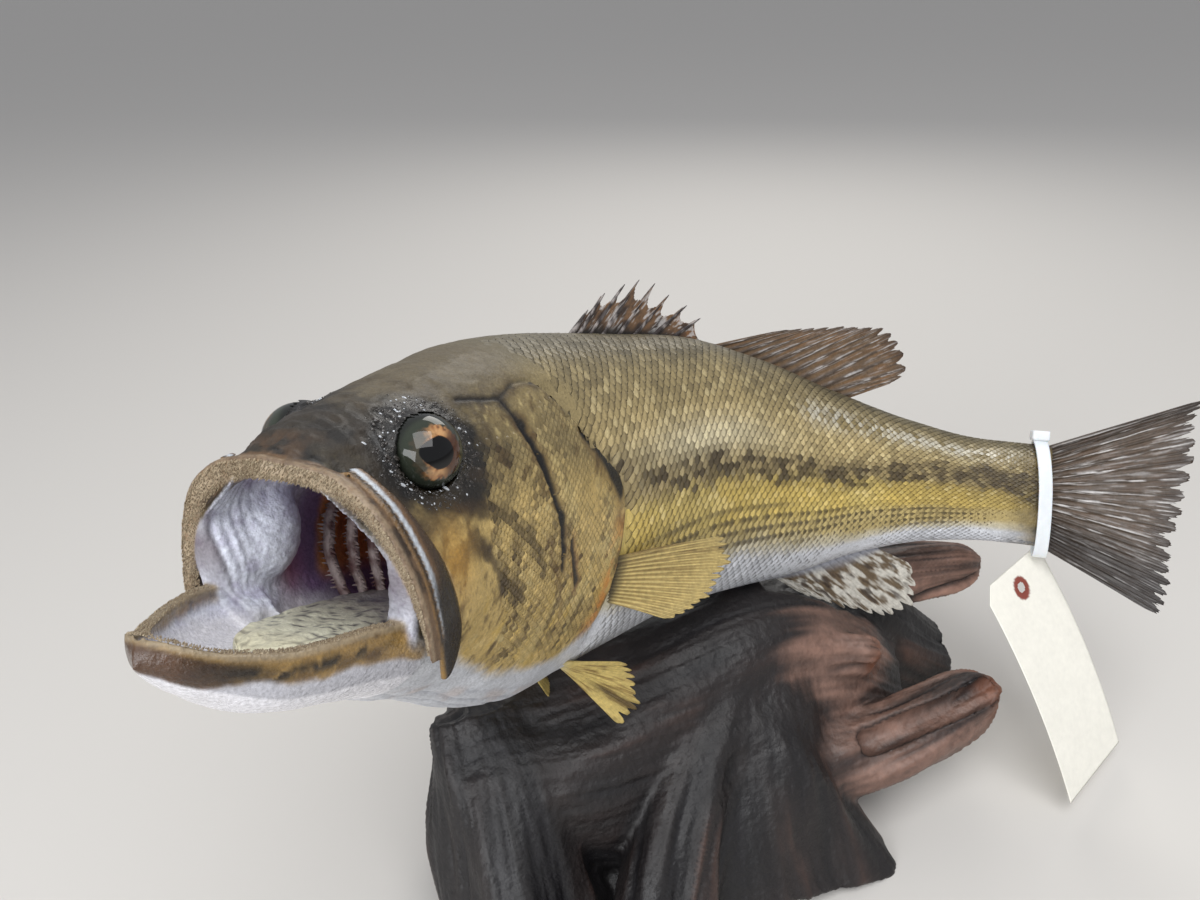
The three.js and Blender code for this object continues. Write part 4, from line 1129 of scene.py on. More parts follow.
# ------------------------------------------------------------------ eyes
def add_eyes(glass):
    """Glass balls with a brown iris, a greenish black ring and a pupil drawn out toward the snout."""
    rows, columns = 90, 128
    F, G = np.meshgrid(np.linspace(0.0005, 0.62, rows) * np.pi, turns(columns), indexing="ij")
    for side, label in SIDES:
        flip = np.array([1, side, 1])
        look = PUPIL_FACING / np.linalg.norm(PUPIL_FACING) * flip
        up = np.array([0, 0, 1.0]) - look[2] * look
        up /= np.linalg.norm(up)
        tailward = np.cross(look, up) * side
        x = np.sin(F) * np.cos(G)          # toward the tail
        y = np.sin(F) * np.sin(G)          # up
        out = np.cos(F)
        centre = EYE * flip
        p = centre + EYE_R * (x[..., None] * tailward + y[..., None] * up + out[..., None] * look)
        p = p.reshape(-1, 3)
        co = place(p)
        faces = grid_faces(rows, columns, closed=True)
        pole = np.arange(columns)[::-1][None]
        faces = outward_from(co, faces, place(centre))
        ob = add_mesh(f"eye_{label}", co, [faces, pole if side > 0 else pole[:, ::-1]])
        X, Y = x.ravel(), y.ravel()
        radius = np.sqrt(X**2 + Y**2)
        around = np.arctan2(Y, X)
        fine = noise(np.stack([X * 18, Y * 18, 0 * X], -1), 3)
        ray = noise(np.stack([around * 11, radius * 5, 0 * X], -1), 9)
        c = blend("#b38355", "#7d4a28", step(-0.3, 0.8, ray + 0.5 * fine))
        c = blend(c, "#c9a273", 0.5 * bump(radius, 0.5, 0.07))
        c = blend(c, "#3b1d12", 0.93 * step(0.2, 0.75, np.cos(around)))
        front = step(0.1, 0.7, -np.cos(around) - 0.2 * fine)
        c = blend(c, "#2f332d", 0.95 * front * step(0.34, 0.46, radius))
        c = blend(c, "#30352c", step(0.6, 0.7, radius + 0.06 * fine))
        c = blend(c, "#1a1c19", step(0.78, 0.92, radius))
        beak = np.where(X < 0, np.abs(Y) * (1 + 0.4 * np.clip(-X / 0.5, 0, 1)), Y)
        pupil = 1 - step(0.40, 0.425, np.sqrt((X * np.where(X < 0, 0.86, 1)) ** 2 + beak**2))
        c = blend(c, "#020203", pupil)
        paint(ob, c)
        settle(ob, glass, "eye", f"eye_{label}")


def add_drops(mat, p, normal, facts):
    """Beads of varnish dried on the skin round each eye; about one in eight is painted light grey as a
    highlight.
    """
    rng = np.random.default_rng(12)
    d = eye_distance(p)
    near = np.where((d > 0.8) & (d < 9.5) & (facts["mouth"] > 2.5) & (facts["blade"] > 1.5))[0]
    chance = np.exp(-((d[near] - 3.2) / 3.2) ** 2)
    pick = rng.choice(near, 900, replace=False, p=chance / chance.sum())
    parts = []
    sides, heights = 7, ((1.0, -0.15), (0.85, 0.28), (0.5, 0.5), (0.08, 0.58))
    a = turns(sides)
    for k in pick:
        n = normal[k]
        u = unit(np.cross(n, [0.2, 0.4, 0.9]))
        v = np.cross(n, u)
        size = rng.uniform(0.16, 0.46) * (1.6 if rng.random() < 0.14 else 1)
        stretch = rng.uniform(0.6, 2.2)
        ring = np.cos(a)[:, None] * u * stretch + np.sin(a)[:, None] * v
        rings = [p[k] + size * (f * ring + h * 0.8 * n) for f, h in heights]
        parts.append((np.concatenate(rings), grid_faces(len(heights), sides, closed=True)))
    q, f = join(parts)
    ob = add_mesh("varnish_drops", place(q), outward_from(place(q), f, place(EYE)))
    # painted highlights: some beads are painted light grey instead of dark
    pale = np.repeat(rng.random(len(pick)) < 0.12, len(heights) * sides)
    paint(ob, np.where(pale[:, None], colour("#b9bdc2"), colour("#2a2420")))
    settle(ob, mat, "head_skin")


def outward_from(co, faces, centre):
    a, b, c = co[faces[:, 0]], co[faces[:, 1]], co[faces[:, 2]]
    turn = np.einsum("ij,ij->i", np.cross(b - a, c - a), a - centre).sum()
    return faces if turn > 0 else faces[:, ::-1]


# ------------------------------------------------------------------ mouth pieces
def add_tongue(mat):
    """A broad dried pad on the mouth's floor, its edge curled, its skin crazed."""
    rows, columns = 70, 72
    t = np.linspace(0.01, 0.99, rows)[:, None]
    q = turns(columns)[None, :]
    s = 7 + 71 * t + 0 * q
    half = 15.5 * np.sqrt(1 - (1 - np.minimum(1, t * 2.4)) ** 2) * (1 - 0.15 * step(0.7, 1, t))
    left = -2.0 + half * power(np.cos(q), 0.8)
    thick = (3.2 + 1.2 * t) * np.sqrt(np.clip(1 - (1 - np.minimum(1, t * 6)) ** 2, 0, 1))
    z = -41 + 1.5 * t + thick * np.sin(q)
    across = np.cos(q)
    z = z + np.where(np.sin(q) > 0, 1.2 * step(0.7, 0.95, np.abs(across)) - 0.9 * bump(across, 0, 0.3), 0)
    p = np.stack([s, left, z], -1).reshape(-1, 3)
    p[:, 2] += 0.55 * fbm(p / np.array([7, 4, 4]), 5) + 0.5 * np.abs(noise(p / 3.2, 8))
    co = place(p)
    faces = outward(co, grid_faces(rows, columns, closed=True))
    ends = [np.arange(columns)[None], np.arange(columns)[::-1][None] + (rows - 1) * columns]
    ob = add_mesh("tongue", co, [faces] + ends)
    crack = np.abs(noise(p / 3.2, 8))
    c = blend("#dad8c0", "#48444a", step(0.13, 0.0, crack))
    c = blend(c, "#8d8a96", 0.7 * step(40, 70, s.ravel() + 10 * fbm(p / 9, 6)))
    c = blend(c, "#e2dab8", 0.5 * (1 - step(12, 26, s.ravel())))
    paint(ob, c)
    settle(ob, mat, "mouth_lining", "tongue")


def tube(path, radius, sides=10):
    """A round rod along a path of points (n, 3) with radii (n,), ends closed to points."""
    run = np.gradient(path, axis=0)
    run /= np.linalg.norm(run, axis=1, keepdims=True)
    ref = np.array([0.3, 0.9, 0.2])
    u = np.cross(run, ref)
    u /= np.linalg.norm(u, axis=1, keepdims=True)
    v = np.cross(run, u)
    q = turns(sides)[None, :, None]
    ring = path[:, None] + radius[:, None, None] * (np.cos(q) * u[:, None] + np.sin(q) * v[:, None])
    return ring.reshape(-1, 3), grid_faces(len(path), sides, closed=True)


def join(pieces):
    """Joins (points, quads) pairs."""
    co, faces, n = [], [], 0
    for p, f in pieces:
        co.append(p)
        faces.append(f + n)
        n += len(p)
    return np.concatenate(co), np.concatenate(faces)


def spike(base, tip, radius, sides=5):
    t = np.array([0, 0.5, 0.97])[:, None]
    return tube(base + (tip - base) * t, radius * np.array([1, 0.62, 0.12]), sides)


def add_gill_arches(mat):
    """Four bowed arches on each side with a double row of short rakers."""
    rng = np.random.default_rng(3)
    for side, label in SIDES:
        parts = []
        for k in range(4):
            t = np.linspace(0, 1, 26)
            bow = np.sin(np.pi * t)
            s = 71.5 + 5.0 * k - 4 * bow - 4 * t**3
            left = side * ((25 - 5.4 * k) * (1 - 0.35 * t**3) + 1.5 * bow)
            z = -3 - 1.2 * k + (-34 + 1.5 * k) * t
            path = np.stack([s, left, z], -1)
            path += 1.1 * np.stack([noise(path / 6 + k, c) for c in (1, 2, 3)], -1)
            parts.append(tube(path, 1.55 + 0.35 * bow))
            for i in range(2, 24):
                for turn in (-1, 1):
                    base = path[i]
                    size = rng.uniform(2.4, 4.2) * (1 if k else 1.25)
                    way = np.array([-0.62, side * (-0.35 + 0.85 * turn), rng.uniform(-0.25, 0.15)])
                    tip = base + size * way
                    parts.append(spike(base, tip, 0.85))
        p, f = join(parts)
        ob = add_mesh(f"gill_arches_{label}", place(p), f)
        paint(ob, blend("#b9a9a4", "#6b4a48", step(-0.3, 0.3, fbm(p / 3, 4))))
        settle(ob, mat, "gill", f"gill_arches_{label}")


def add_teeth(mat):
    """Fine brush-like teeth over the toothed bands of both jaws, each a small cone."""
    rng = np.random.default_rng(9)
    parts = []
    n = 4200
    t = rng.uniform(-0.9, 0.9, n)
    across = rng.uniform(0.14, 0.93, n)
    a, b = upper_rails(t)
    base = a + (b - a) * across[:, None]
    front = np.array([-0.9, 0, -0.45])
    lean = (b - a) / np.linalg.norm(b - a, axis=1, keepdims=True)
    tips = base + 0.55 * (front * 0.75 + lean * 0.6) * rng.uniform(0.7, 1.2, (n, 1))
    tips = tips + rng.normal(0, 0.06, (n, 3))
    base = base - 0.25 * front
    n = 1700
    u = rng.uniform(0.0, 1, n) ** 0.9
    rim = curve3(LOWER_RIM, u)
    side = rng.choice([-1, 1], n)
    inward = rng.uniform(0.4, 3.4, n)
    w = np.maximum(rim[:, 1] - inward, 0.0)
    low = np.stack([rim[:, 0] + inward * (1 - u) * 0.9, side * w, rim[:, 2] - 0.15], -1)
    low_tip = low + 0.55 * np.array([0.35, 0, 0.9]) * rng.uniform(0.7, 1.2, (n, 1))
    low_tip = low_tip + rng.normal(0, 0.06, (n, 3))
    for p, q in zip(np.concatenate([base, low]), np.concatenate([tips, low_tip])):
        parts.append(spike(p, q, 0.27, 4))
    p, f = join(parts)
    ob = add_mesh("teeth", place(p), f)
    tone = np.repeat(rng.uniform(0, 1, len(p) // 12), 12)
    paint(ob, blend("#a99a80", "#6f5c44", tone))
    settle(ob, mat, "jaw_rim")


# ------------------------------------------------------------------ fins
def fin_sheet(root, tip, reach, thickness, rows=44, wave=0.0):
    """A closed fin from root and tip rails (n, 3), each column's reach and half thickness(column, row)."""
    n = len(root)
    v = np.linspace(0, 1, rows)
    grow = v[None, :] * reach[:, None]
    p = root[:, None] + (tip - root)[:, None] * grow[..., None]
    du, dv = np.gradient(p, axis=0), np.gradient(p, axis=1)
    normal = unit(np.cross(du, dv))
    h = thickness(np.arange(n)[:, None] / (n - 1), grow)
    h = h * np.sqrt(np.clip((1 - v) * 14, 0.15, 1))[None, :]
    side_a, side_b = p + normal * h[..., None], p - normal * h[..., None]
    if wave:
        off = normal * (wave * grow**1.5 * np.sin(np.linspace(0, 9, n))[:, None])[..., None]
        side_a, side_b = side_a + off, side_b + off
    co = np.concatenate([side_a.reshape(-1, 3), side_b.reshape(-1, 3)])
    f = grid_faces(n, rows)
    m = n * rows
    rim = np.concatenate([np.arange(n) * rows, (n - 1) * rows + np.arange(1, rows),
                          np.arange(n - 2, -1, -1) * rows + rows - 1, np.arange(rows - 2, 0, -1)])
    nxt = np.roll(rim, -1)
    wall = np.stack([rim, nxt, nxt + m, rim + m], 1)
    faces = np.concatenate([f[:, ::-1], f + m, wall[:, ::-1]])
    u = np.repeat(np.arange(n) / (n - 1), rows)
    g = grow.ravel()
    return co, faces, np.concatenate([u, u]), np.concatenate([g, g])


def ridge(u, count, sharp=1.6):
    """1 on each ray, 0 midway between rays."""
    return (0.5 - 0.5 * np.cos(2 * np.pi * u * count)) ** sharp


def ray_pattern(u, v, count):
    """Rays that fork once and again toward the fin's edge."""
    one = ridge(u, count)
    two = ridge(u + 0.25 / count, count * 2, 1.1)
    four = ridge(u + 0.125 / count, count * 4, 1.0)
    w1, w2 = step(0.35, 0.6, v), step(0.68, 0.85, v)
    return (one * (1 - w1) + (0.35 + 0.65 * one**0.4) * two * w1) * (1 - w2) + four * (0.5 + 0.5 * two) * w2


def frayed(u, count, cut, spread, rng, hair=0.03):
    """How much of each column's length is left: notches between rays and torn tips."""
    gap = np.interp(u * count, np.arange(count + 1), rng.uniform(0.3, 1, count + 1))
    length = np.interp(u * count - 0.5, np.arange(count), rng.uniform(0, 1, count))
    hairs = hair * rng.uniform(0, 1, len(u)) * (0.3 + (1 - ridge(u, count, 0.8)))
    return 1 - cut * gap * (1 - ridge(u, count, 0.6)) ** 1.6 - spread * length - hairs


def streaks(u, g, along, across, seed):
    """Noise drawn out along a fin's rays."""
    return fbm(np.stack([u * along, g * across, 0 * u], -1), seed)


def add_soft_fin(name, mat, slot, rails, count, membrane, ray, cut, spread, palette, seed, mirror=1,
                 per_ray=14, rows=44, wave=0.0, bury=1.5, hair=0.03):
    """A fin of soft rays: half thickness of membrane and ray, depth of notches, unevenness of tips."""
    rng = np.random.default_rng(seed)
    n = count * per_ray + 1
    u = np.linspace(0, 1, n)
    root, tip = rails(u)
    root = root - unit(tip - root) * bury
    reach = frayed(u, count, cut, spread, rng, hair)

    def thickness(c, g):
        return (membrane + (ray - membrane) * ray_pattern(c, g, count)) * (1 - 0.55 * g)

    co, faces, U, G = fin_sheet(root, tip, reach, thickness, rows=rows, wave=wave)
    if mirror < 0:
        co = co * [1, -1, 1]
        faces = faces[:, ::-1]
    ob = add_mesh(name, place(co), faces)
    paint(ob, palette(U, G, ray_pattern(U, G, count)))
    settle(ob, mat, slot, name)


def dark_fin_paint(ray_tone, skin_tone, edge_tone, seed, rust="#6b4424", shine=0.6):
    """Dark rays with painted highlights (pale glints) along them, browner membranes, a ragged dark edge."""
    def palette(u, g, r):
        fine = streaks(u, g, 40, 6, seed)
        glint = step(0.02, 0.34, streaks(u, g, 130, 9, seed + 2))
        c = blend(skin_tone, ray_tone, r**0.6)
        c = blend(c, rust, 0.75 * (1 - r) ** 1.5 * step(-0.1, 0.4, fine + 0.5 * (g - 0.5)))
        c = blend(c, edge_tone, 0.7 * step(0.75, 1.0, g + 0.15 * fine))
        # painted highlight: pale glints along the rays
        c = blend(c, "#cfccca", shine * r * glint * step(0.06, 0.2, g) * (1 - 0.5 * step(0.85, 1, g)))
        return c * (1 + 0.25 * fine[:, None])
    return palette


def median_tips(tips, u):
    return np.stack([curve(tips, u, 1), 0 * u, curve(tips, u, 2)], -1)


def median_rails(line_table, start, end, tips):
    """Root and tip rails of a fin on the back's or the belly's line."""
    def rails(u):
        s = start + (end - start) * u
        return np.stack([s, 0 * s, curve(line_table, s)], -1), median_tips(tips, u)
    return rails


SPINES = [(175, 187, 72), (180, 197, 80.5), (188, 211, 86.5), (197, 221, 90), (208, 232, 90), (219, 242, 86),
          (232, 254, 82.5), (245, 264, 77.5)]


def add_spiny_dorsal(mat):
    """Eight spines with a torn membrane hung between them."""
    rng = np.random.default_rng(21)
    per = 22
    u = np.linspace(0, 1, len(SPINES) * per + 1)
    k = np.array(SPINES + [(263, 271, 70)], float)
    pos = u * len(SPINES)
    i = np.minimum(pos.astype(int), len(SPINES) - 1)
    w = pos - i
    s0 = k[i, 0] + (k[i + 1, 0] - k[i, 0]) * w
    root = np.stack([s0, 0 * s0, curve(BACK_LINE, s0) - 1.5], -1)
    tip = np.stack([k[i, 1] + (k[i + 1, 1] - k[i, 1]) * w, 0 * s0, k[i, 2] + (k[i + 1, 2] - k[i, 2]) * w], -1)
    sag = rng.uniform(0.08, 0.2, len(SPINES))[i]
    reach = 0.93 - 0.27 * w**0.7 - sag * np.sin(np.pi * np.clip(w * 1.1, 0, 1))
    reach = reach - 0.03 * rng.uniform(0, 1, len(w))
    reach = np.where(i == len(SPINES) - 1, 0.85 - 0.6 * w, reach)
    co, faces, U, G = fin_sheet(root, tip, reach, lambda c, g: 0.32 + 0 * g, rows=34, wave=0.5)
    fine = streaks(U, G, 30, 5, 22)
    c = blend("#74573c", "#372a22", step(-0.3, 0.4, fine))
    c = blend(c, "#8a5c30", 0.6 * step(0.0, 0.5, streaks(U, G, 14, 3, 24)) * step(0.35, 0.8, U))
    # painted highlight: pale streaks along the membrane
    c = blend(c, "#c9c6c4", 0.7 * step(0.18, 0.42, streaks(U, G, 60, 7, 26)))
    c = blend(c, "#1b1512", 1 - step(0.05, 0.25, G))
    parts, colours = [(co, faces)], [c]
    for s, st, zt in SPINES:
        t = np.linspace(0, 1, 16)
        base = np.array([s, 0, float(curve(BACK_LINE, np.array(float(s)))) - 2.0])
        end = np.array([st, 0, zt - 0.6])
        path = base + (end - base) * t[:, None]
        path[:, 1] += rng.normal(0, 0.3) * t
        q, f = tube(path, 1.15 * (1 - t) ** 0.6 + 0.16)
        parts.append((q, f))
        tone = fbm(q / np.array([3, 1, 3]), 25)
        colours.append(blend("#2b2220", "#98908c", step(0, 0.4, tone)))
    p, f = join(parts)
    ob = add_mesh("dorsal_fin_spiny", place(p), f)
    paint(ob, np.concatenate(colours))
    settle(ob, mat, "dark_fin", "dorsal_fin_spiny")


# along each fin's edge -> station and height, or station, left and height
SOFT_TIPS = [(0, 318, 77), (.3, 350, 82), (.55, 378, 85), (.75, 391, 77), (.9, 397, 63), (1, 388, 55)]
ANAL_TIPS = [(0, 346, -63), (.3, 374, -70.5), (.55, 400, -74), (.8, 413, -62), (1, 409, -44)]
TAIL_TIPS = [(0, 549, 60), (.15, 543, 50), (.45, 540, 6), (.6, 537, -16), (.85, 538, -45), (1, 536, -58)]
PECTORAL_TIPS = [(0, 226, 57, -20), (.3, 231, 58, -31), (.6, 218, 58, -43), (.85, 203, 56, -50),
                 (1, 188, 52, -53)]
PELVIC_TIPS = [(0, 192, 33, -76), (.4, 205, 30, -89), (.75, 213, 26, -104), (1, 207, 21, -111)]


def paired_rails(station_a, angle_a, station_b, angle_b, tips):
    """Root and tip rails of a left fin, rooted between two places on the body."""
    a = outline(station_a, np.radians(angle_a), 1.5)
    b = outline(station_b, np.radians(angle_b), 1.5)
    return lambda u: (a + (b - a) * u[:, None], curve3(tips, u))


def tail_rails(u):
    v = 1 - 2 * u
    return np.stack([STEM_END - 1.0 + 2.5 * (1 - v * v), 0 * u, 27 * v], -1), median_tips(TAIL_TIPS, u)


def anal_paint(u, g, r):
    fine = streaks(u, g, 26, 7, 43)
    c = blend("#5c4c37", "#bab6ac", step(-0.2, 0.3, fine + 0.3 * (r - 0.4) + 0.5 * (g - 0.3)))
    spots = step(0.1, 0.45, streaks(u, g, 24, 7, 44)) * step(0.1, 0.3, g) * (1 - step(0.75, 0.9, g))
    c = blend(c, "#33271f", 0.8 * spots)
    return blend(c, "#8f9199", 1 - step(0.02, 0.2, g))


def tail_paint(u, g, r):
    c = dark_fin_paint("#453a30", "#4f3d2c", "#241b16", 53, rust="#4d3826", shine=0.85)(u, g, r)
    lobe = np.maximum(0.6 * (1 - step(0.05, 0.2, u)), step(0.55, 0.85, u))
    c = blend(c, "#150f0d", 0.85 * lobe * (0.7 + 0.3 * (1 - r)))
    return blend(c, "#4a3d28", (1 - step(0.0, 0.12, g)) * 0.8)


def pectoral_paint(u, g, r):
    fine = streaks(u, g, 30, 5, 63)
    c = blend("#c2ad70", "#7a6436", (1 - r) ** 1.5 * 0.8)
    c = blend(c, "#5a421f", 0.6 * step(0.0, 0.6, fine) * (1 - step(0.25, 0.5, u)))
    c = blend(c, "#c9b579", 0.4 * step(0.5, 1, g) * r)
    # painted shade: dark at the fin's root, under the gill cover's edge
    return blend(c, "#171009", (1 - step(0.02, 0.16, g)) * 0.9)


def pelvic_paint(u, g, r):
    fine = streaks(u, g, 14, 5, 73)
    c = blend("#bda763", "#6d5226", 0.75 * step(0.0, 0.4, fine) * (1 - r) ** 0.5)
    c = blend(c, "#3a2a17", 0.8 * bump(u, 0.72, 0.09) * step(0.25, 0.6, g))
    return blend(c, "#c4bd98", (1 - step(0.02, 0.2, g)) * 0.8)


def add_fins(mat):
    add_spiny_dorsal(mat)
    back, belly = median_rails(BACK_LINE, 275, 364, SOFT_TIPS), median_rails(BELLY_LINE, 327, 388, ANAL_TIPS)
    soft_paint = dark_fin_paint("#4a3d32", "#6a533a", "#33271f", 33, rust="#6a4c2e")
    add_soft_fin("dorsal_fin_soft", mat, "dark_fin", back, 13, 0.32, 0.9, 0.1, 0.05, soft_paint, 31, wave=0.8)
    add_soft_fin("anal_fin", mat, "pale_fin", belly, 13, 0.35, 1.1, 0.13, 0.07, anal_paint, 41, wave=0.8)
    add_soft_fin("tail_fin", mat, "dark_fin", tail_rails, 17, 0.5, 1.9, 0.07, 0.05, tail_paint, 51, wave=1.0,
                 per_ray=16, rows=56, hair=0.05, bury=7)
    pectoral = paired_rails(163, 107, 168, 124, PECTORAL_TIPS)
    pelvic = paired_rails(155, 150, 171, 168, PELVIC_TIPS)
    for side, label in SIDES:
        add_soft_fin(f"pectoral_fin_{label}", mat, "gold_fin", pectoral, 14, 0.28, 0.8, 0.07, 0.05,
                     pectoral_paint, 61, mirror=side, wave=1.2, bury=2.5)
        add_soft_fin(f"pelvic_fin_{label}", mat, "gold_fin", pelvic, 9, 0.35, 0.9, 0.16, 0.07,
                     pelvic_paint, 71, mirror=side, wave=0.8, bury=2.5)


# ------------------------------------------------------------------ driftwood, tie and card
# along the limb -> centre x, y, z and the two half widths, in the row frame's millimetres
LIMBS = {
    "body": [(0, -122, 46, 50, 34, 56), (.3, -62, 34, 46, 52, 62), (.6, 12, 24, 48, 56, 62),
             (.85, 74, 14, 36, 46, 50), (1, 108, 2, 20, 34, 34)],
    "crown": [(0, 40, 44, 106, 15, 12), (.4, 26, 28, 84, 34, 30), (1, 6, 10, 40, 58, 52)],
    "left_skirt": [(0, -112, 52, 92, 22, 24), (.45, -116, 26, 56, 30, 34), (1, -122, -2, 0, 40, 44)],
    "front_skirt": [(0, 6, 12, 62, 40, 34), (.5, -10, -12, 36, 62, 34), (1, -24, -36, -6, 78, 32)],
    "right_skirt": [(0, 40, 4, 46, 34, 28), (.5, 54, -6, 28, 40, 26), (1, 58, -8, -6, 44, 24)],
    "ridge": [(0, 50, 14, 92, 13, 12), (.3, 8, 4, 78, 18, 17), (.65, -46, -24, 48, 22, 20),
              (1, -88, -56, 0, 24, 22)],
    "branch": [(0, -6, -14, 30, 26, 24), (.4, 50, -34, 34, 20, 20), (.75, 94, -52, 46, 17, 17),
               (1, 136, -60, 54, 17, 18)],
    "knob": [(0, 14, 18, 78, 18, 15), (.6, 58, -4, 78, 12, 11), (1, 88, -22, 74, 10, 9)],
    "rear": [(0, 20, 44, 56, 34, 32), (.5, 94, 34, 50, 38, 36), (1, 164, 8, 8, 30, 28)],
    "far_branch": [(0, 84, 46, 58, 24, 22), (.5, 138, 32, 72, 22, 17), (1, 196, -4, 74, 11, 13)],
}
WOOD_VOXEL = 1.3


def limb_frames(knots, t):
    """Centres, half widths, direction and the two cross directions along a limb."""
    p = np.stack([curve(knots, t, c) for c in (1, 2, 3)], -1)
    size = np.stack([curve(knots, t, c) for c in (4, 5)], -1)
    run = unit(np.gradient(p, axis=0))
    up0 = np.where(np.abs(run[:, 2:]) > 0.93, [[0, 1.0, 0]], [[0, 0, 1.0]])
    across = unit(np.cross(run, up0))
    return p, size, run, across, np.cross(across, run)


def capsule(axes, a, b, radius):
    a, b = np.array(a, float), np.array(b, float)
    d = b - a
    t = np.clip(sum((axes[k] - a[k]) * d[k] for k in range(3)) / (d @ d), 0, 1)
    return np.sqrt(sum((axes[k] - a[k] - t * d[k]) ** 2 for k in range(3))) - radius


def add_driftwood(mat):
    grid = Grid((-168, -92, -6), (206, 92, 122), WOOD_VOXEL)
    t = np.linspace(0, 1, 48)
    q = turns(40)
    wood = None
    for name, knots in LIMBS.items():
        p, size, _, across, up = limb_frames(knots, t)
        lump = 1 + 0.07 * np.sin(3 * q[None] + 5 * t[:, None]) + 0.05 * np.sin(5 * q[None] - 7 * t[:, None])
        if name in ("branch", "knob", "far_branch", "crown"):
            size = size * np.sqrt(np.clip(1 - ((t - 0.88) / 0.13).clip(0) ** 2, 0.05, 1))[:, None]
            lump = lump + 0.16 * np.sin(2 * q[None] + 3.0 + 9 * t[:, None]) * t[:, None]
        ring = (p[:, None] + (np.cos(q)[None] * size[:, :1] * lump)[..., None] * across[:, None]
                + (np.sin(q)[None] * size[:, 1:] * lump)[..., None] * up[:, None])
        field = grid.loft(ring, reach=8)
        wood = field if wood is None else smin(wood, field, 6)
    x, y, z = (grid.axis(0)[:, None, None], grid.axis(1)[None, :, None], grid.axis(2)[None, None, :])
    # room round the fins that hang beside it
    for *at, radius in ((182, 22, -88, 10), (194, 27, -93, 12), (206, 27, -100, 12), (182, -22, -88, 9),
                        (194, -27, -93, 9), (345, 0, -58, 9), (362, 0, -62, 10), (380, 0, -64, 10),
                        (396, 0, -66, 10)):
        wood = smax(wood, -ball((x, y, z), place(at) * 1000, (radius,) * 3), 5)
    # splits and hollows
    for a, b, r in (((58, -46, 50), (122, -67, 64), 6.5), ((-30, -62, 52), (-44, -78, 22), 9),
                    ((6, -20, 96), (-60, -58, 66), 5)):
        wood = smax(wood, -capsule((x, y, z), a, b, r), 3)
    wood = np.maximum(wood, -z)
    co, quads, index = grid.surface(wood)
    normal = unit(grid.sample(wood, index, gradient=True)[1])
    limbs = {name: limb_frames(knots, np.linspace(0, 1, 50)) for name, knots in LIMBS.items()}
    total, relief, fine, tone = (np.full(len(co), start) for start in (1e-9, 0.0, 0.0, 0.0))
    for order, (p, size, run, across, up) in enumerate(limbs.values()):
        _, at = nearest(p, co)
        r = co - p[at]
        cx, cy = (r * across[at]).sum(1) / size[at, 0], (r * up[at]).sum(1) / size[at, 1]
        off = np.abs(np.sqrt(cx**2 + cy**2 + ((r * run[at]).sum(1) / 14) ** 2) - 1)
        weight = np.exp(-((off / 0.16) ** 2)) + 1e-6
        around = np.arctan2(cy, cx)
        long = at / 49 * np.linalg.norm(np.diff(p, axis=0), axis=1).sum() + (r * run[at]).sum(1)
        wheel = np.stack([np.cos(around) * 3.2, np.sin(around) * 3.2, long / 70 + 9 * order], -1)
        broad = fbm(wheel, 101)
        strand = fbm(wheel * np.array([3.6, 3.6, 1.2]), 111)
        hair = noise(wheel * np.array([10, 10, 2.0]), 121)
        relief += weight * (3.2 * broad + 0.9 * (0.5 - np.abs(strand) * 1.6) + 0.14 * hair)
        fine += weight * strand
        tone += weight * broad
        total += weight
    relief, fine, tone = relief / total, fine / total, tone / total
    flat = step(1.5, 7, co[:, 2])
    moved = co + normal * (relief * flat)[:, None]
    moved[:, 2] = np.where(co[:, 2] < 0.6, 0.0, np.maximum(moved[:, 2], 0.0))
    hollow = grid.sample(wood, index + normal * 7 / WOOD_VOXEL) / 7
    # the arms are bare and brown, the far one palest, and the main mass is nearly black; painted shade
    # darkens the grain's grooves and the hollows
    bare = [limbs[name][0][10:50:3] for name in ("branch", "knob", "far_branch")]
    arms, _ = nearest(np.concatenate(bare), co)
    behind, _ = nearest(limbs["far_branch"][0][25:50:3], co)
    arm = 1 - step(16, 30, arms - 6 * tone - 9 * fine)
    dark, light = blend("#0f0d0e", "#513e36", arm), blend("#231c1b", "#846659", arm)
    c = blend(dark, light, step(-0.45, 0.5, tone + 0.2 * fine))
    c = blend(c, "#66483b", 0.5 * step(0.8, 3.0, relief))
    c = c * (1 + 1.1 * (1 - step(14, 30, behind)))[:, None]
    # painted shade: darker in the grooves of the grain, near-black in the hollows
    c = blend(c, "#121014", 0.8 * step(0.3, -1.0, relief / 2.4 + 0.5 * fine))
    c = blend(c, "#0d0b0d", 0.85 * step(0.85, 0.45, hollow))
    for tip, radius in (((88, -22, 74), 16), ((136, -60, 54), 22)):
        d = np.sqrt(((co - np.array(tip)) ** 2).sum(1))
        c = blend(c, "#7d4c33", 0.7 * (1 - step(radius * 0.4, radius, d)) * step(-0.5, 0.4, fine + 0.3))
    ob = add_mesh("driftwood", moved * 0.001, quads)
    paint(ob, c)
    settle(ob, mat, "driftwood", "driftwood")


TIE_AT = 469   # station of the tie's lock, on the back's line


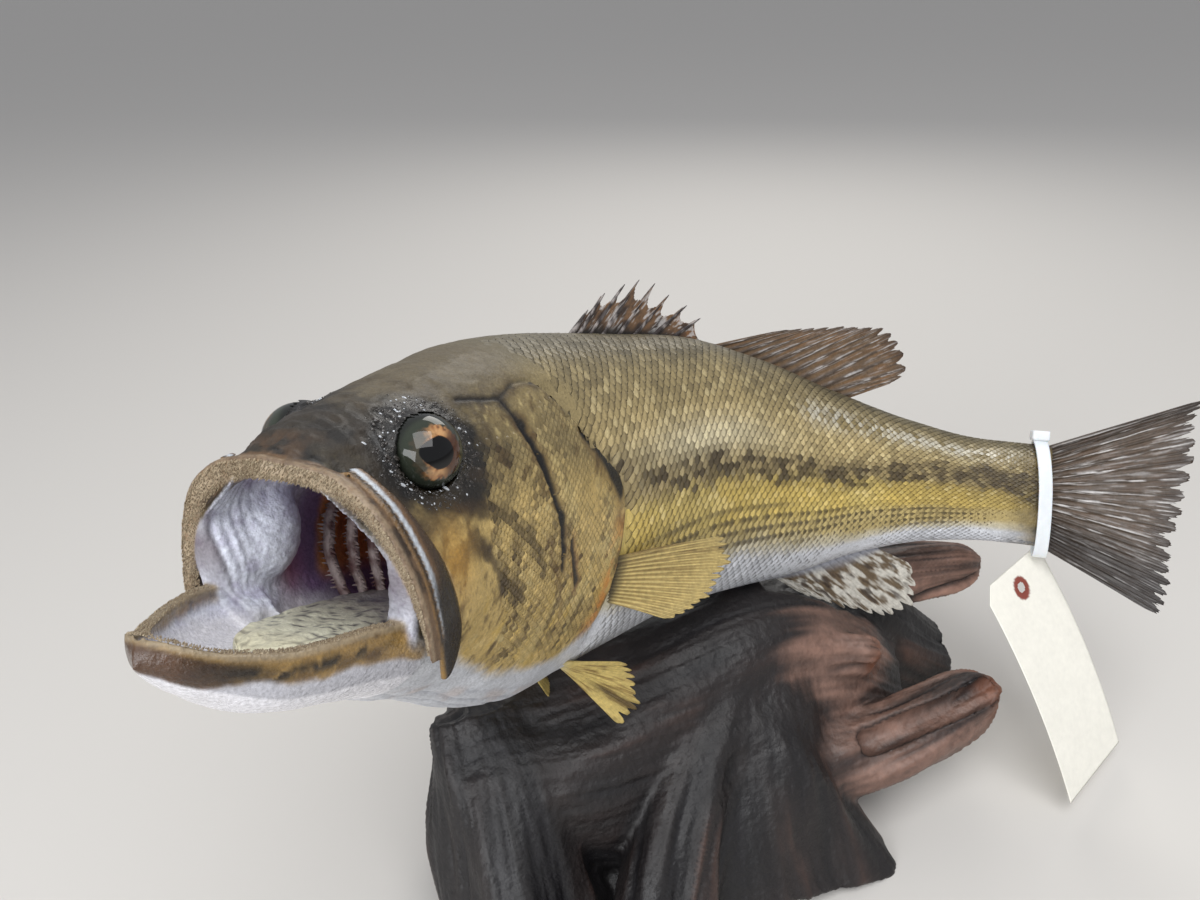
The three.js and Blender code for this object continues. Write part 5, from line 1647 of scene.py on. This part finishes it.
def add_tie(mat):
    """The nylon band with its square lock."""
    n, m = 120, 20
    a, q = turns(n), turns(m)
    ds = 3.6 * power(np.cos(q), 0.35)
    out = 1.35 + 0.75 * power(np.sin(q), 0.5)
    A, DS = a[:, None] + 0 * ds, (TIE_AT + 2.6 * (1 - np.cos(a)) + 1.4 * np.sin(a) ** 2)[:, None] + ds
    p = outline(DS, A, -np.broadcast_to(out, A.shape))
    p[..., 1] *= 1.08
    p[..., 2] -= 1.5 * (1 - np.cos(A))
    j, last = np.arange(m), (n - 1) * m
    k = (j + 1) % m
    seam = np.stack([last + j, last + k, k, j], 1)
    ring = (p.reshape(-1, 3), np.concatenate([grid_faces(n, m, closed=True), seam]))
    top = float(outline(float(TIE_AT), 0.0, -0.6)[2])
    k = turns(32)
    sx, sy = power(np.cos(k), 0.25), power(np.sin(k), 0.25)
    lock = [np.stack([TIE_AT + 4.6 * grow * sx, 4 * grow * sy, top + z + 0 * k], -1)
            for z, grow in ((0.9, 0.82), (1.3, 0.96), (2.0, 1), (5.4, 1), (6.0, 0.96), (6.2, 0.85))]
    head, quads, caps = loft_mesh(np.array(lock))
    co, faces = join([ring, (head, quads)])
    ob = add_mesh("cable_tie", place(co), [faces[:, ::-1], (caps + len(ring[0]))[:, ::-1]])
    paint(ob, "#dfe3e6")
    settle(ob, mat, "nylon", "cable_tie")


TAG_TOP, TAG_TURN, TAG_LENGTH, TAG_WIDTH = (163.5, -41, 109), 98, 121, 60


def add_tag(mat):
    """The card: cut upper corners, a reinforced hole, a slight curl; nothing is written on it."""
    rows, columns = 122, 61
    turn = np.radians(TAG_TURN - 90)
    across, out = (np.cos(turn), np.sin(turn)), (-np.sin(turn), np.cos(turn))
    v = np.linspace(0, 1, rows)
    lean = np.radians(42 + (26 - 42) * v)
    ds = TAG_LENGTH / (rows - 1)
    x = np.concatenate([[0], np.cumsum(np.sin(lean))[:-1]]) * ds
    z = np.concatenate([[0], np.cumsum(np.cos(lean))[:-1]]) * ds
    half = TAG_WIDTH / 2 - np.maximum(0, 8 - v * TAG_LENGTH)
    w = np.linspace(-1, 1, columns)
    W = half[:, None] * w
    curl = 1.2 * np.cos(w * 1.3)[None] * np.sin(v * 3)[:, None]
    sheets = []
    for side in (-0.35, 0.35):
        off = x[:, None] - (side + curl) * np.cos(lean)[:, None]
        x_, y_ = (TAG_TOP[k] + across[k] * W - out[k] * off for k in (0, 1))
        sheets.append(np.stack([x_, y_, TAG_TOP[2] - z[:, None] + (side + curl) * np.sin(lean)[:, None]], -1))
    m = rows * columns
    hole = np.sqrt(W**2 + (v[:, None] * TAG_LENGTH - 12) ** 2)
    f = grid_faces(rows, columns)
    f = f[hole.ravel()[f].mean(1) > 3.2]
    co = np.concatenate([s.reshape(-1, 3) for s in sheets])
    rim = np.concatenate([np.arange(columns), np.arange(1, rows) * columns + columns - 1,
                          m - 2 - np.arange(columns - 1), np.arange(rows - 2, 0, -1) * columns])
    nxt = np.roll(rim, -1)
    wall = np.stack([rim, nxt, nxt + m, rim + m], 1)
    ob = add_mesh("tag", co * 0.001, np.concatenate([f, f[:, ::-1] + m, wall[:, ::-1]]))
    d = np.concatenate([hole.ravel()] * 2)
    c = blend("#f4f1e6", "#8a4438", 1 - step(6.2, 6.8, d))
    c = c * (1 + 0.03 * fbm(co / 9, 131)[:, None])
    paint(ob, c)
    settle(ob, mat, "card", "tag")


# ------------------------------------------------------------------ scene
def add_stage():
    """A pale plain floor, an even studio sky and three soft lights."""
    mat = bpy.data.materials.new("floor")
    mat.use_nodes = True
    bsdf = mat.node_tree.nodes["Principled BSDF"]
    bsdf.inputs["Base Color"].default_value = (0.62, 0.6, 0.57, 1)
    bsdf.inputs["Roughness"].default_value = 0.85
    co = np.array([(-30, -30, 0), (30, -30, 0), (30, 30, 0), (-30, 30, 0)], float)
    floor = add_mesh("floor", co, np.array([[0, 1, 2, 3]]), smooth=False)
    floor.data.materials.append(mat)
    world = bpy.data.worlds.new("studio")
    world.use_nodes = True
    sky = world.node_tree.nodes["Background"]
    sky.inputs["Color"].default_value = (0.93, 0.95, 1, 1)
    sky.inputs["Strength"].default_value = 0.44
    bpy.context.scene.world = world
    bpy.context.scene.view_settings.view_transform = "Standard"

    for name, at, aim, size, watts, tint in (
            ("key", (-0.2, -0.6, 1.6), (0, 0, 0.2), 1.3, 18, (1, 1, 1)),
            ("fill", (-1.3, -0.6, 0.6), (-0.15, 0, 0.22), 0.9, 13, (0.97, 0.98, 1)),
            ("rim", (0.9, 0.9, 1.1), (0, 0, 0.2), 0.8, 7, (1, 0.97, 0.92))):
        light = bpy.data.lights.new(name, "AREA")
        light.energy = watts
        light.color = tint
        light.size = size
        ob = bpy.data.objects.new(name, light)
        ob.location = at
        ob.rotation_euler = (Vector(aim) - Vector(at)).to_track_quat("-Z", "Y").to_euler()
        bpy.context.scene.collection.objects.link(ob)


# the photo's camera, solved from landmarks on the fish
CAMERA_AT = (-0.235, -0.250, 0.412)
CAMERA_AXES = {"right": (0.8263, -0.56262, -0.02618), "down": (-0.29624, -0.39461, -0.86978),
               "forward": (0.47903, 0.72646, -0.49274)}
LENS = 27.606


def add_camera():
    cam = bpy.data.cameras.new("camera")
    cam.lens = LENS
    cam.sensor_width = 36
    cam.clip_start = 0.01
    ob = bpy.data.objects.new("camera", cam)
    right, down, forward = CAMERA_AXES.values()
    m = Matrix([(right[i], -down[i], -forward[i]) for i in range(3)]).to_4x4()
    m.translation = CAMERA_AT
    ob.matrix_world = m
    bpy.context.scene.collection.objects.link(ob)
    bpy.context.scene.camera = ob


def add_skin(mat):
    """The one skin over head, jaws, trunk and tail stem; returns what sits on it needs."""
    p, quads, facts = build_skin()
    a = body_angle(p)
    normal = facts["normal"]
    moved = p + normal * head_relief(p, a, facts)[:, None]
    ob = add_mesh("skin", place(moved), quads[:, ::-1])
    paint(ob, skin_paint(p, a, facts))
    number(ob, "finish", skin_finish(p, a, facts))
    settle(ob, mat, "body_skin", "head", "gill_cover_left", "gill_cover_right", "upper_jaw", "maxilla_left",
           "maxilla_right", "lower_jaw", "trunk", "tail_stem")
    return moved, normal, facts


def main():
    varnished = material("varnished skin", bump_size=0.00045, bump_scale=800, rough=0.42, coat=0.12,
                         coat_rough=0.2, vary=0.16, vary_scale=900, finish=True, rough_vary=0.08)
    scale_mat = material("scales", bump_size=0.0002, bump_scale=1500, rough=0.45, coat=0.15,
                         coat_rough=0.15, vary=0.14, vary_scale=1200, finish=True, rough_vary=0.06)
    glass = material("glass eye", rough=0.04, vary=0.05, vary_scale=2000, rough_vary=0)
    drops = material("varnish", rough=0.06, coat=0.6, coat_rough=0.03, vary=0.1, vary_scale=900,
                     rough_vary=0.03)
    lining = material("dried lining", bump_size=0.0006, bump_scale=700, rough=0.6, coat=0.15,
                      coat_rough=0.3, vary=0.15, vary_scale=700)
    teeth = material("teeth", rough=0.5, coat=0.2, coat_rough=0.2, vary=0.1, vary_scale=1500)
    fin_mat = material("varnished fins", bump_size=0.0003, bump_scale=900, rough=0.42, coat=0.12,
                       coat_rough=0.12, vary=0.2, vary_scale=500)
    wood = material("driftwood", bump_size=0.0010, bump_scale=260, rough=0.52, coat=0.05,
                    coat_rough=0.3, vary=0.22, vary_scale=180)
    nylon = material("nylon", rough=0.35, vary=0.03, vary_scale=300, rough_vary=0.04, subsurface=0.2)
    card = material("card", bump_size=0.00008, bump_scale=900, rough=0.85, vary=0.03, vary_scale=300,
                    rough_vary=0.05)
    add_drops(drops, *add_skin(varnished))
    add_scales(scale_mat)
    add_eyes(glass)
    add_tongue(lining)
    add_gill_arches(lining)
    add_teeth(teeth)
    add_fins(fin_mat)
    add_driftwood(wood)
    add_tie(nylon)
    add_tag(card)
    add_stage()
    add_camera()


main()
